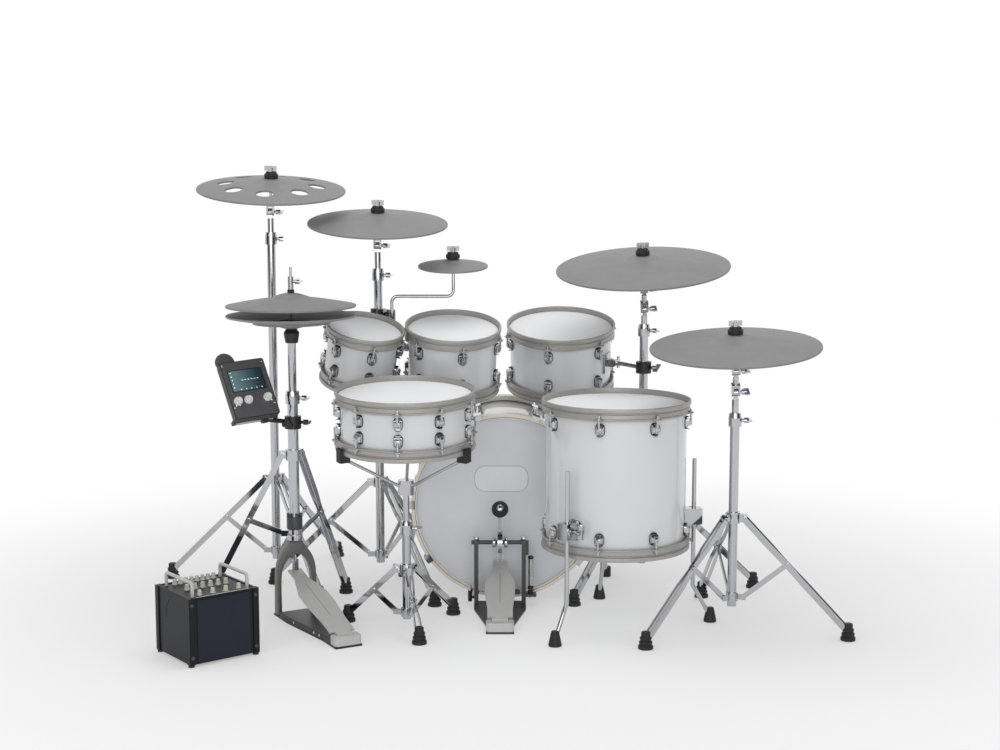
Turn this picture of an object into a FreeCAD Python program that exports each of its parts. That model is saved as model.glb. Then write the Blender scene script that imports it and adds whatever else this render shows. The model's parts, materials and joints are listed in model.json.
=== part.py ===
import FreeCAD, Part
import math
import os

# Electronic drum kit set up for playing. Millimetres, +Z up, the player's side is -Y.
# The origin is on the floor under the kick pedal's base plate.

V = FreeCAD.Vector
X_AXIS = V(1, 0, 0)
Y_AXIS = V(0, 1, 0)
UP = V(0, 0, 1)

# Shared clearances
RUN = 0.4
SEAT = 0.1

# Drum shells, heads and hoops
SHELL_WALL = 6.0
HEAD_THICK = 1.5
HEAD_DROP = 15.0
FLESH_IN = 1.5
FLESH_OUT = 5.0
FLESH_DEEP = 12.0
HOOP_BORE = 5.5
HOOP_WALL = 2.0
HOOP_LIP = 11.0
HOOP_ROLL = 11.0
HOOP_HEIGHT = 33.0
HOOP_FLANGE = 3.0
LEDGE_IN = 2.5
LEDGE_THICK = 2.0
EAR_R = 8.0

# Tension rods and lugs
TENSION_DIA = 6.0
TENSION_OFFSET = 14.0
TENSION_HEAD = 7.0
WASHER_DIA = 11.0
WASHER_THICK = 2.0
LUG_WIDE = 24.0
LUG_HIGH = 33.0
LUG_DEEP = 19.0
LUG_TAPER = 0.75
LUG_CORNER = 6.0
LUG_DROP = 8.0

# Snare drum
SNARE_X = -255.0
SNARE_Y = -140.0
SNARE_RIM_Z = 660.0
SNARE_DIA = 356.0
SNARE_SPAN = 160.0
SNARE_TILT = 3.6
SNARE_LUGS = 10
SNARE_LUG_TURN = -93.0

# Small tom
TOM1_X = -381.0
TOM1_Y = 147.0
TOM1_RIM_Z = 799.0
TOM1_DIA = 203.0
TOM1_SPAN = 175.0
TOM1_TILT = 15.0
TOM1_LEAN = 9.5
TOM1_LUG_TURN = -129.0

# Middle tom
TOM2_X = -134.0
TOM2_Y = 196.0
TOM2_RIM_Z = 797.0
TOM2_DIA = 254.0
TOM2_SPAN = 195.0
TOM2_TILT = 13.6
TOM2_LEAN = 2.0
TOM2_LUG_TURN = -135.0

# Large tom
TOM3_X = 184.0
TOM3_Y = 450.0
TOM3_RIM_Z = 776.0
TOM3_DIA = 305.0
TOM3_SPAN = 203.0
TOM3_TILT = 13.0
TOM3_LEAN = 0.0
TOM3_LUG_TURN = -106.0
TOM_LUGS = 6

# Floor tom and its three legs
FLOOR_X = 315.0
FLOOR_Y = -103.0
FLOOR_RIM_Z = 629.0
FLOOR_DIA = 381.0
FLOOR_SPAN = 407.0
FLOOR_LUGS = 8
FLOOR_LUG_TURN = -152.0
FLOOR_LEG_SLOTS = (0, 3, 5)
FLOOR_LEG_DIA = 12.0
FLOOR_LEG_TOP = 460.0
FLOOR_LEG_BEND_Z = 105.0
FLOOR_LEG_OFFSET = 27.0
FLOOR_FOOT_KICK = 50.0
FLOOR_FOOT_HIGH = 40.0
FLOOR_FOOT_DIA = 35.0
FLOOR_FOOT_TOP_DIA = 21.0
FLOOR_FOOT_BASE = 10.0
FLOOR_FOOT_SOCKET = 16.0
BRACKET_Z = 300.0
BRACKET_HIGH = 44.0
BRACKET_WIDE = 32.0
BRACKET_DEEP = 48.0
FLANGE_DIA = 46.0
FLANGE_THICK = 6.0

# Kick drum
KICK_X = 14.0
KICK_FRONT_Y = 150.0
KICK_FLOOR_GAP = 5.0
KICK_DIA = 508.0
KICK_SPAN = 400.0
KICK_HOOP_DEEP = 40.0
KICK_HOOP_BORE = 6.5
KICK_HOOP_WALL = 9.5
KICK_Z = KICK_DIA / 2 + KICK_HOOP_BORE + KICK_HOOP_WALL + KICK_FLOOR_GAP
KICK_HEAD_DROP = 14.0
KICK_LUGS = 10
KICK_LUG_TURN = 71.0
CLAW_WIDE = 24.0
CLAW_THICK = 4.0
KICK_LUG_LONG = 60.0

# Kick spurs
SPUR_DIA = 18.0
SPUR_Y = 330.0
SPUR_SPLAY = 14.0
SPUR_BELOW = 18.0
SPUR_RAKE = 25.0
SPUR_HINGE_OUT = 14.0
SPUR_FOOT_HIGH = 30.0
SPUR_FOOT_DIA = 29.0

# Tripod stands
TUBE_DIA = 25.4
TUBE_WALL = 2.2
TUBE_LOW_Z = 62.0
RISER_DIA = 19.0
RISER_INSIDE = 160.0
COLLAR_WALL = 6.5
LOW_COLLAR_WALL = 4.0
COLLAR_HIGH = 30.0
LOW_COLLAR_HIGH = 24.0
COLLAR_BITE = 2.0
COLLAR_EAR_HIGH = 22.0
LEG_TOP_R = 30.0
LEG_TOP_Z = 308.0
LEG_MID_Z = 190.0
LEG_LOW_R = 30.0
LEG_LOW_Z = 88.0
LEG_END_Z = 24.0
LEG_BAR = 3.0
LEG_DEPTH = 16.0
LEG_WIDE = 6.0
LEG_PINCH = 2.0
PINCH_HALF = 18.0
PINCH_RUN = 46.0
LEG_OVER = 6.0
BOLT_DIA = 12.0
BOLT_HIGH = 4.0
BRACE_DEPTH = 14.0
FOOT_DIA = 40.0
FOOT_HIGH = 46.0
FOOT_RIBS = ((20.0, 9.0), (15.2, 13.0), (17.2, 20.0), (13.2, 24.0), (15.2, 31.0), (12.0, 35.0))

# Cymbal stands: place of the tube, height of the tube's top, leg reach and directions
CRASH1_X = -680.0
CRASH1_Y = 400.0
CRASH1_TUBE_TOP = 1038.0
CRASH1_HINGE_Z = 1112.0
CRASH1_TILT = 9.7
CRASH1_LEAN = 2.3
CRASH1_DIA = 432.0
CRASH1_LEG_TURN = 60.0

CRASH2_X = -360.0
CRASH2_Y = 350.0
CRASH2_TUBE_TOP = 934.0
CRASH2_HINGE_Z = 1015.0
CRASH2_TILT = 9.6
CRASH2_LEAN = 1.3
CRASH2_DIA = 406.0
CRASH2_LEG_TURN = 63.0

RIDE_X = 426.0
RIDE_Y = 343.0
RIDE_TUBE_TOP = 770.0
RIDE_HINGE_Z = 828.0
RIDE_TILT = 10.0
RIDE_LEAN = -3.1
RIDE_DIA = 508.0
RIDE_LEG_TURN = 110.0

CRASH3_X = 632.0
CRASH3_Y = -138.0
CRASH3_TUBE_TOP = 580.0
CRASH3_HINGE_Z = 650.0
CRASH3_TILT = 6.7
CRASH3_LEAN = -2.6
CRASH3_DIA = 457.0
CRASH3_LEG_TURN = 98.0

STAND_REACH = 318.0
RIDE_REACH = 333.0
ARM_LONG = 62.0
ARM_DIA = 16.0
ARM_TILT = 17.0
STEM_LONG = 63.0

# Clamps at the tubes' mouths
FUNNEL_WALL = 5.0
FUNNEL_BELOW = 22.0
FUNNEL_ABOVE = 14.0
FUNNEL_TAPER = 2.0
SCREW_DOWN = 6.0
SCREW_REACH = 8.0
SCREW_BITE = 2.0

# Tilter hinges
KNUCKLE_R = 11.0
KNUCKLE_WIDE = 12.0
CHEEK_THICK = 5.0
CHEEK_R = 11.0
HINGE_PIN = 8.0
BRIDGE_HIGH = 8.0
FORK_CLEAR = 5.0
PIN_SCREW_REACH = 5.0
NECK_LONG = 25.0
NECK_SHOW = 19.0

# Cymbals
ROD_DIA = 8.0
CYMBAL_HOLE = 12.0
CYMBAL_THICK = 6.0
CYMBAL_EDGE = 5.0
BELL_DIA = 104.0
BELL_HIGH = 9.0
BELL_MID = 0.62
BOW_MID = 0.62
BOW_SHARE = 0.055
PUCK_DIA = 41.0
PUCK_HIGH = 18.0
PUCK_BORE = 13.0
NUT_GAP = 0.8
NUT_DIA = 15.0
NUT_HIGH = 13.0
WING_SPAN = 36.0
WING_HIGH = 14.0
WING_THICK = 4.0
WING_UP = 0.75
ROD_SHOW = 4.0
SEAT_GAP = 0.9
SEAT_TOP_DIA = 15.0
SEAT_DIA = 34.0
SEAT_HIGH = 14.0
VENT_DIA = 52.0
VENT_RING = 135.0
VENT_COUNT = 8
VENT_TURN = 90.0

# Splash cymbal on its cranked arm
SPLASH_X = -137.0
SPLASH_Y = 322.0
SPLASH_Z = 954.0
SPLASH_DIA = 203.0
SPLASH_TILT = 6.7
SPLASH_BELL_DIA = 64.0
SPLASH_ARM_Z = 868.0
SPLASH_DROP_X = -318.0
SPLASH_CLAMP_Z = 812.0
SPLASH_ARM_DIA = 10.0
SPLASH_BEND = 18.0
SPLASH_STEM_LOW = 10.0
SPLASH_STEM_TOP = 8.0
SPLASH_GRIP_DIA = 22.0
SPLASH_BRIDGE = 14.0

# Hi-hat
HAT_X = -574.0
HAT_Y = 0.0
HAT_TURN = 28.7
HAT_DIA = 356.0
HAT_TOP_Z = 867.0
HAT_LOW_Z = 845.0
HAT_BELL_DIA = 112.0
HAT_BELL_HIGH = 14.0
HAT_RING_DIA = 212.0
HAT_RING_IN = 180.0
HAT_RING_LOW = 14.0
HAT_RING_SLOPE = 2.0
HAT_RING_HIGH = 24.0
HAT_TUBE_DIA = 30.0
HAT_TUBE_TOP = 620.0
HAT_UPPER_DIA = 23.0
HAT_UPPER_INSIDE = 120.0
HAT_SEAT_Z = 768.0
HAT_SEAT_DIA = 44.0
HAT_SEAT_LOW_DIA = 35.0
HAT_SEAT_TOP_DIA = 31.0
HAT_SEAT_SHOULDER = 10.0
HAT_ROD_DIA = 7.0
HAT_ROD_TOP = 977.0
HAT_ROD_LOW = 152.0
HAT_CLUTCH_DIA = 16.0
HAT_CLUTCH_HIGH = 44.0
HAT_NUT_HIGH = 8.0
HAT_SCREW_UP = 31.0
HAT_SCREW_REACH = 6.0
HAT_YOKE_TOP = 212.0
HAT_YOKE_WIDE = 118.0
HAT_YOKE_THICK = 12.0
HAT_YOKE_ARCH = 62.0
HAT_NECK_WIDE = 50.0
HAT_YOKE_DEEP = 40.0
HAT_HEEL = 370.0
HAT_HINGE_Y = -340.0
HAT_TOE_Y = 8.0
HAT_TOE_Z = 120.0
HAT_CROWN = 22.0
STRAP_WIDE = 18.0
STRAP_DEEP = 2.0
STRAP_LAP = 6.0
HAT_LEG_REACH = 256.0
HAT_LEG_TOP_Z = 455.0
HAT_LEG_TOP_R = 32.0
HAT_LEG_MID_Z = 269.0
HAT_LEG_LOW_Z = 232.0
HAT_LEG_ANGLES = (180.0, 62.0)

# Pedals
PLATE_THICK = 4.8
BOARD_THICK = 6.0
BOARD_WIDE = 84.0
HEEL_WIDE = 70.0
HEEL_HINGE_Z = 24.0
HEEL_PIN = 8.0
HEEL_MARGIN = 3.0
HEEL_EAR_DIA = 24.0
HEEL_BARREL = 19.0
HEEL_CAP_Z = 30.0
HEEL_CAP_BACK = 10.0
BOARD_START = 15.0
BOARD_LAP = 4.0
BOARD_HEEL_END = 0.2
BOARD_WIDE_START = 0.45
BOARD_WIDE_END = 0.62
BOARD_TOE_START = 0.86
PLATE_FLARE = 0.3
KICK_HEEL_Y = -203.0
KICK_HINGE_Y = -170.0
KICK_TOE_Y = 136.0
KICK_TOE_Z = 112.0
HEEL_EAR = 12.0
BOARD_LIFT = 2.0
TOE_WIDE = 40.0
LINK_THICK = 5.0
LINK_GAP = 16.0
AXLE_HALF = 82.0
CRANK_LONG = 36.0
SPRING_OUT = 14.0
KICK_POST_X = 68.0
KICK_POST_Y = 95.0
KICK_POST_WIDE = 12.0
KICK_POST_DEEP = 28.0
KICK_AXLE_Z = 183.0
KICK_AXLE_DIA = 12.0
KICK_BASE_WIDE = 148.0
KICK_FLARE_Y = 35.0
KICK_BASE_FRONT = 119.0
CAM_DIA = 64.0
CAM_WIDE = 14.0
BEATER_Y = 72.0
BEATER_UP = 9.0
BEATER_DIA = 48.0
BEATER_ROD_DIA = 8.0
SPRING_DIA = 15.0
SPRING_LOW_Z = 34.0
SPRING_HIGH_Z = 140.0
SPRING_FOOT = 8.0
JAW_THICK = 8.0
JAW_WIDE = 60.0
JAW_LIP_HIGH = 24.0
JAW_SCREW_UP = 0.6

# Snare stand
CRADLE_TUBE_TOP = 280.0
CRADLE_INSIDE = 140.0
CRADLE_TUBE_DIA = 24.0
CRADLE_RISER_DIA = 18.0
CRADLE_HUB_Z = 388.0
CRADLE_HUB_DIA = 44.0
CRADLE_HUB_HIGH = 40.0
CRADLE_ARM_DIA = 9.0
CRADLE_ARM_ANGLES = (-150.0, -30.0, 90.0)
CRADLE_TIP_WIDE = 26.0
CRADLE_TIP_WALL = 10.0
CRADLE_TIP_RISE = 18.0
CRADLE_TIP_FLOOR = 20.0
CRADLE_TIP_IN = 8.0
CRADLE_ARM_IN = 4.0
CRADLE_REACH = 172.0
CRADLE_LEG_TURN = 44.0
CRADLE_LEG_TOP_Z = 160.0
CRADLE_LEG_MID_Z = 96.0
CRADLE_LEG_LOW_Z = 40.0
CRADLE_TUBE_LOW = 22.0

# Tom holders
HOLDER1_Z = 730.0
HOLDER2_Z = 692.0
HOLDER3_Z = 655.0
HOLDER_DIA = 46.0
HOLDER_HIGH = 34.0
HOLDER_ROD_DIA = 13.0
HOLDER_BITE = 4.0
TOM_PLATE_WIDE = 40.0
TOM_PLATE_HIGH = 60.0
TOM_PLATE_THICK = 5.0
TOM_HINGE_OUT = 26.0

# Sound module on the hi-hat stand
MODULE_X = -683.0
MODULE_Y = -62.0
MODULE_Z = 650.0
MODULE_WIDE = 130.0
MODULE_HIGH = 172.0
MODULE_THICK = 24.0
MODULE_CORNER = 7.0
MODULE_PITCH = 56.4
MODULE_YAW = 28.6
MODULE_ROLL = 4.6
SCREEN_WIDE = 96.0
SCREEN_HIGH = 62.0
SCREEN_UP = 26.0
SCREEN_DEEP = 1.5
MODULE_KNOB_DIA = 24.0
MODULE_KNOB_HIGH = 12.0
MODULE_KNOB_PLACES = (-44.0, -14.0, 42.0)
MODULE_KNOB_DOWN = 34.0
MODULE_CLAMP_Z = 546.0
MODULE_ARM_DIA = 10.0
MODULE_HINGE_UP = 6.0
MODULE_HINGE_GAP = 6.0
MODULE_GRIP_OUT = 30.0
MODULE_GRIP_WIDE = 16.0
MODULE_EAR_BITE = 1.0
MODULE_KNOB_TOP_DIA = 20.0
FIN_WIDE = 46.0
FIN_HIGH = 34.0
FIN_THICK = 8.0
FIN_IN = 2.0
FIN_LAP = 8.0

# Amplifier box on the floor
BOX_X = -780.0
BOX_Y = -504.0
BOX_TURN = 37.7
BOX_WIDE = 200.0
BOX_DEEP = 188.0
BOX_FOOT = 6.0
BOX_HIGH = 172.0
BOX_POST = 16.0
BOX_RIM = 8.0
BOX_INSET = 3.0
BOX_WELL = 10.0
BOX_HANDLE_DIA = 9.0
BOX_HANDLE_HIGH = 34.0
BOX_HANDLE_INSET = 22.0
BOX_HANDLE_BEND = 10.0
BOX_KNOB_DIA = 13.0
BOX_KNOB_TOP_DIA = 9.0
BOX_KNOB_HIGH = 13.0
BOX_KNOB_ROWS = (4, 6, 8)
BOX_KNOB_SIDE = 22.0
BOX_KNOB_FRONT = 26.0

nodes = {}


def add(node, *solids):
    nodes.setdefault(node, []).extend(solids)


def turn(angle):
    """Unit vector in the floor plane, counted from +X towards +Y."""
    return V(math.cos(math.radians(angle)), math.sin(math.radians(angle)), 0)


def leaning(tilt, lean=0.0):
    """Rotation that tips an upright axis towards the player and to the right."""
    return FreeCAD.Rotation(Y_AXIS, lean).multiply(FreeCAD.Rotation(X_AXIS, tilt))


def placed(shape, base, rotation=FreeCAD.Rotation()):
    moved = shape.copy()
    moved.Placement = FreeCAD.Placement(base, rotation).multiply(moved.Placement)
    return moved


def turned(shape, angle):
    return placed(shape, V(), FreeCAD.Rotation(UP, angle))


def cylinder(dia, start, path):
    return Part.makeCylinder(dia / 2, path.Length, start, path)


def rod(dia, start, end):
    return cylinder(dia, start, end - start)


def elbow(dia, before, corner, after, radius):
    """Round bar's bend at a corner of its path, with the points where it starts and ends."""
    along = (corner - before).normalize()
    onward = (after - corner).normalize()
    swing = along.getAngle(onward)
    reach = radius * math.tan(swing / 2)
    start = corner - along * reach
    inward = (onward - along * along.dot(onward)).normalize()
    section = Part.Face(Part.Wire(Part.makeCircle(dia / 2, start, along)))
    bend = section.revolve(start + inward * radius, along.cross(onward), math.degrees(swing))
    return bend, start, corner + onward * reach


def slab(size, centre):
    return Part.makeBox(size.x, size.y, size.z, centre - size * 0.5)


def lathe(outline):
    """Solid of revolution about Z from (radius, height) points."""
    corners = [V(r, 0, z) for r, z in outline]
    wire = Part.makePolygon(corners + corners[:1])
    return Part.Face(wire).revolve(V(), UP, 360)


def sleeve(outer_dia, inner_dia, low, high):
    low_in = inner_dia / 2
    out = outer_dia / 2
    return lathe([(low_in, low), (out, low), (out, high), (low_in, high)])


def prism(outline, direction):
    wire = Part.makePolygon(outline + outline[:1])
    return Part.Face(wire).extrude(direction)


def wing_bolt(start, direction, reach):
    """Clamp screw with a wing head, square to the piece that it tightens."""
    along = V(direction).normalize()
    shank = cylinder(NUT_DIA * 0.6, start, along * reach)
    hub = cylinder(NUT_DIA, start + along * reach, along * NUT_HIGH)
    wings = slab(V(WING_THICK, WING_SPAN, WING_HIGH), V(0, 0, WING_HIGH / 2))
    wings = placed(wings, start + along * (reach + NUT_HIGH * 0.5), FreeCAD.Rotation(UP, along))
    return shank.fuse([hub, wings])


# Drums

def lug_turns(count, first):
    return [first + 360.0 * step / count for step in range(count)]


def drum_shell(dia, span, head_drop):
    """Shell between the two heads, its rim at zero height and the body below."""
    top = -head_drop - HEAD_THICK
    return sleeve(dia, dia - 2 * SHELL_WALL, -span - top, top)


def drum_head(dia, head_drop):
    shell_r = dia / 2
    top = -head_drop
    film = top - HEAD_THICK
    skirt = film - FLESH_DEEP
    return lathe([(0, top), (0, film), (shell_r + FLESH_IN, film), (shell_r + FLESH_IN, skirt),
                  (shell_r + FLESH_OUT, skirt), (shell_r + FLESH_OUT, top)])


def metal_hoop(dia, turns):
    """Flanged hoop: rolled lip, waist, inner ledge on the head and drilled ears for the rods."""
    shell_r = dia / 2
    bore = shell_r + HOOP_BORE
    wall = bore + HOOP_WALL
    lip = shell_r + HOOP_LIP
    ledge = shell_r + LEDGE_IN
    low = -HOOP_HEIGHT
    band = lathe([(ledge, -HEAD_DROP), (ledge, -HEAD_DROP + LEDGE_THICK), (bore, -HEAD_DROP + LEDGE_THICK),
                  (bore, 0), (lip, 0), (lip, -HOOP_ROLL), (wall, -HOOP_ROLL),
                  (wall, low + HOOP_FLANGE), (lip, low + HOOP_FLANGE), (lip, low), (bore, low),
                  (bore, -HEAD_DROP)])
    spots = [turn(angle) * (shell_r + TENSION_OFFSET) + UP * low for angle in turns]
    ears = [Part.makeCylinder(EAR_R, HOOP_FLANGE, spot) for spot in spots]
    holes = [Part.makeCylinder(TENSION_DIA / 2 + RUN, HOOP_FLANGE, spot) for spot in spots]
    return band.fuse(ears).cut(holes)


def octagon(distance, wide, high, corner):
    half_w = wide / 2
    half_h = high / 2
    ring = [(half_w, half_h - corner), (half_w - corner, half_h), (corner - half_w, half_h),
            (-half_w, half_h - corner), (-half_w, corner - half_h), (corner - half_w, -half_h),
            (half_w - corner, -half_h), (half_w, corner - half_h)]
    points = [V(distance, side, height) for side, height in ring]
    return Part.makePolygon(points + points[:1])


def tension_lug(dia):
    """Shield-shaped lug with its tension rod and square head, on the +X side of the shell."""
    shell_r = dia / 2
    ear_top = HOOP_FLANGE - HOOP_HEIGHT
    middle = -HOOP_HEIGHT - LUG_DROP - LUG_HIGH / 2
    body = placed(shield(shell_r, shell_r + LUG_DEEP, LUG_HIGH), UP * middle)
    axis = V(shell_r + TENSION_OFFSET, 0, 0)
    tension = rod(TENSION_DIA, axis + UP * middle, axis + UP * ear_top)
    washer = cylinder(WASHER_DIA, axis + UP * ear_top, UP * WASHER_THICK)
    head_size = V(TENSION_DIA, TENSION_DIA, TENSION_HEAD)
    head = slab(head_size, axis + UP * (ear_top + WASHER_THICK + TENSION_HEAD / 2))
    return body.fuse([tension, washer, head])


def shield(back_r, front_r, high):
    """Lug's body, tapering from the shell to its face."""
    back = octagon(back_r, LUG_WIDE, high, LUG_CORNER)
    front = octagon(front_r, LUG_WIDE * LUG_TAPER, high * LUG_TAPER, LUG_CORNER * LUG_TAPER)
    return Part.makeLoft([back, front], True, True)


def flipped(shape, span):
    """The same piece at the drum's other end."""
    return placed(shape, UP * -span, FreeCAD.Rotation(X_AXIS, 180))


def metal_hooped_drum(name, base, rotation, dia, span, turns):
    """Shell, two mesh heads, two hoops and two rows of lugs."""
    add(name + "_shell", placed(drum_shell(dia, span, HEAD_DROP), base, rotation))
    head = drum_head(dia, HEAD_DROP)
    hoop = metal_hoop(dia, turns)
    low_hoop = flipped(metal_hoop(dia, [-angle for angle in turns]), span)
    lug = tension_lug(dia)
    for piece in (head, flipped(head, span)):
        add(name + "_heads", placed(piece, base, rotation))
    for piece in (hoop, low_hoop):
        add(name + "_hoops", placed(piece, base, rotation))
    for angle in turns:
        for piece in (lug, flipped(lug, span)):
            add(name + "_lugs", placed(turned(piece, angle), base, rotation))


def kick_drum():
    """Bass drum on its side: wooden hoops held by claws, batter head to the player."""
    base = V(KICK_X, KICK_FRONT_Y, KICK_Z)
    rotation = FreeCAD.Rotation(X_AXIS, 90)
    shell_r = KICK_DIA / 2
    hoop_in = shell_r + KICK_HOOP_BORE
    hoop_out = hoop_in + KICK_HOOP_WALL
    press = shell_r + FLESH_IN
    ledge_low = -KICK_HEAD_DROP
    hoop = lathe([(press, ledge_low), (press, ledge_low + LEDGE_THICK), (hoop_in, ledge_low + LEDGE_THICK),
                  (hoop_in, 0), (hoop_out, 0), (hoop_out, -KICK_HOOP_DEEP), (hoop_in, -KICK_HOOP_DEEP),
                  (hoop_in, ledge_low)])
    head = drum_head(KICK_DIA, KICK_HEAD_DROP)
    add("kick_shell", placed(drum_shell(KICK_DIA, KICK_SPAN, KICK_HEAD_DROP), base, rotation))
    for piece in (hoop, flipped(hoop, KICK_SPAN)):
        add("kick_hoops", placed(piece, base, rotation))
    for piece in (head, flipped(head, KICK_SPAN)):
        add("kick_heads", placed(piece, base, rotation))
    fitting = kick_fitting(shell_r, hoop_in, hoop_out)
    for angle in lug_turns(KICK_LUGS, KICK_LUG_TURN):
        add("kick_lugs", placed(turned(fitting, angle), base, rotation))


def kick_fitting(shell_r, hoop_in, hoop_out):
    """Lug at the middle of the shell with a rod and a claw over each hoop."""
    claw_in = hoop_out + SEAT
    claw_out = claw_in + 2 * CLAW_THICK
    corners = [(hoop_in, 0), (hoop_in, CLAW_THICK), (claw_out, CLAW_THICK), (claw_out, -KICK_HOOP_DEEP),
               (claw_in, -KICK_HOOP_DEEP), (claw_in, 0)]
    outline = [V(r, -CLAW_WIDE / 2, z) for r, z in corners]
    claw = prism(outline, V(0, CLAW_WIDE, 0))
    rod_r = claw_in + CLAW_THICK
    tension = rod(TENSION_DIA, V(rod_r, 0, CLAW_THICK), V(rod_r, 0, -KICK_SPAN / 2))
    body = placed(shield(shell_r, rod_r + CLAW_THICK, KICK_LUG_LONG), UP * (-KICK_SPAN / 2))
    return body.fuse([claw, tension, flipped(claw, KICK_SPAN), flipped(tension, KICK_SPAN)])


def kick_spur(name, side):
    """Folding spur: angled boss on the shell and a raked leg with a rubber tip."""
    splay = math.radians(SPUR_SPLAY)
    below = math.radians(SPUR_BELOW)
    rake = math.radians(SPUR_RAKE)
    out = V(side * math.cos(splay), 0, math.sin(splay))
    down = V(side * math.sin(splay), 0, -math.cos(splay))
    along = down * math.cos(rake) + Y_AXIS * math.sin(rake)
    shell_r = KICK_DIA / 2
    seat = V(KICK_X + side * shell_r * math.cos(below), SPUR_Y, KICK_Z - shell_r * math.sin(below))
    boss = cylinder(2 * SPUR_DIA, seat - out * SPUR_DIA, out * (SPUR_DIA + SPUR_HINGE_OUT))
    shell = Part.makeCylinder(shell_r, KICK_SPAN, V(KICK_X, KICK_FRONT_Y, KICK_Z), Y_AXIS)
    add("kick_lugs", boss.cut(shell))
    hinge = seat + out * (SPUR_HINGE_OUT + RUN)
    start = hinge + out * (SPUR_DIA / 2)
    end = start + along * ((start.z - SPUR_FOOT_HIGH / 2) / -along.z)
    head = cylinder(2 * SPUR_DIA, hinge, out * SPUR_DIA)
    leg = head.fuse(rod(SPUR_DIA, start, end))
    tip = Part.makeCylinder(SPUR_FOOT_DIA / 2, SPUR_FOOT_HIGH, V(end.x, end.y, 0))
    add(name, leg, tip.cut(leg))


def floor_tom():
    turns = lug_turns(FLOOR_LUGS, FLOOR_LUG_TURN)
    base = V(FLOOR_X, FLOOR_Y, FLOOR_RIM_Z)
    metal_hooped_drum("floor_tom", base, FreeCAD.Rotation(), FLOOR_DIA, FLOOR_SPAN, turns)
    half_step = 180.0 / FLOOR_LUGS
    for slot in FLOOR_LEG_SLOTS:
        floor_tom_leg(turns[slot] + half_step)


def floor_tom_leg(angle):
    """Bent rod through a clamp bracket on the shell, ending in a rubber foot."""
    out = turn(angle)
    centre = V(FLOOR_X, FLOOR_Y, 0)
    shell_r = FLOOR_DIA / 2
    axis = centre + out * (shell_r + FLOOR_LEG_OFFSET)
    foot = centre + out * (shell_r + FLOOR_LEG_OFFSET + FLOOR_FOOT_KICK)
    bend = axis + UP * FLOOR_LEG_BEND_Z
    knee = foot + UP * FLOOR_FOOT_SOCKET
    straight = rod(FLOOR_LEG_DIA, bend, axis + UP * FLOOR_LEG_TOP)
    ball = Part.makeSphere(FLOOR_LEG_DIA / 2, bend)
    leg = straight.fuse([ball, rod(FLOOR_LEG_DIA, bend, knee)])
    half = FLOOR_FOOT_DIA / 2
    top = FLOOR_FOOT_TOP_DIA / 2
    rubber = lathe([(0, 0), (half, 0), (half, FLOOR_FOOT_BASE), (top, FLOOR_FOOT_HIGH),
                    (0, FLOOR_FOOT_HIGH)])
    add("floor_tom_legs", leg)
    add("rubber_feet", placed(rubber, foot).cut(leg))
    middle = V(shell_r + BRACKET_DEEP / 2, 0, BRACKET_Z)
    block = slab(V(BRACKET_DEEP, BRACKET_WIDE, BRACKET_HIGH), middle)
    side = V(shell_r + FLANGE_DIA / 2, BRACKET_WIDE / 2, BRACKET_Z)
    flange = cylinder(FLANGE_DIA, side, Y_AXIS * FLANGE_THICK)
    screw = wing_bolt(side, Y_AXIS, 2 * FLANGE_THICK)
    bore = cylinder(FLOOR_LEG_DIA + 2 * RUN, V(shell_r + FLOOR_LEG_OFFSET, 0, 0), UP * FLOOR_RIM_Z)
    bracket = block.fuse([flange, screw]).cut(bore)
    add("floor_tom_lugs", placed(turned(bracket, angle), centre))


# Tripods

def leg_frame(start, end, side):
    along = (end - start).normalize()
    return FreeCAD.Placement(start, FreeCAD.Rotation(along, side, along.cross(side), "XYZ"))


def leg_bar(length, middle):
    """One strip of a double leg: apart at the ends, pinched together at the brace's pivot."""
    inner = [(-LEG_OVER, LEG_WIDE), (middle - PINCH_HALF - PINCH_RUN, LEG_WIDE),
             (middle - PINCH_HALF, LEG_PINCH), (middle + PINCH_HALF, LEG_PINCH),
             (middle + PINCH_HALF + PINCH_RUN, LEG_WIDE), (length, LEG_WIDE)]
    outline = [V(s, t, -LEG_DEPTH / 2) for s, t in inner]
    outline += [V(s, t + LEG_BAR, -LEG_DEPTH / 2) for s, t in reversed(inner)]
    bar = prism(outline, UP * LEG_DEPTH)
    top_bolt = cylinder(BOLT_DIA, V(0, LEG_WIDE + LEG_BAR, 0), Y_AXIS * BOLT_HIGH)
    mid_bolt = cylinder(BOLT_DIA, V(middle, LEG_PINCH + LEG_BAR, 0), Y_AXIS * BOLT_HIGH)
    return bar.fuse([top_bolt, mid_bolt])


def rubber_foot():
    """Ribbed foot that narrows upwards."""
    neck = FOOT_RIBS[-1][0]
    return lathe([(0, 0), (FOOT_DIA / 2, 0)] + list(FOOT_RIBS) + [(neck, FOOT_HIGH), (0, FOOT_HIGH)])


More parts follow.
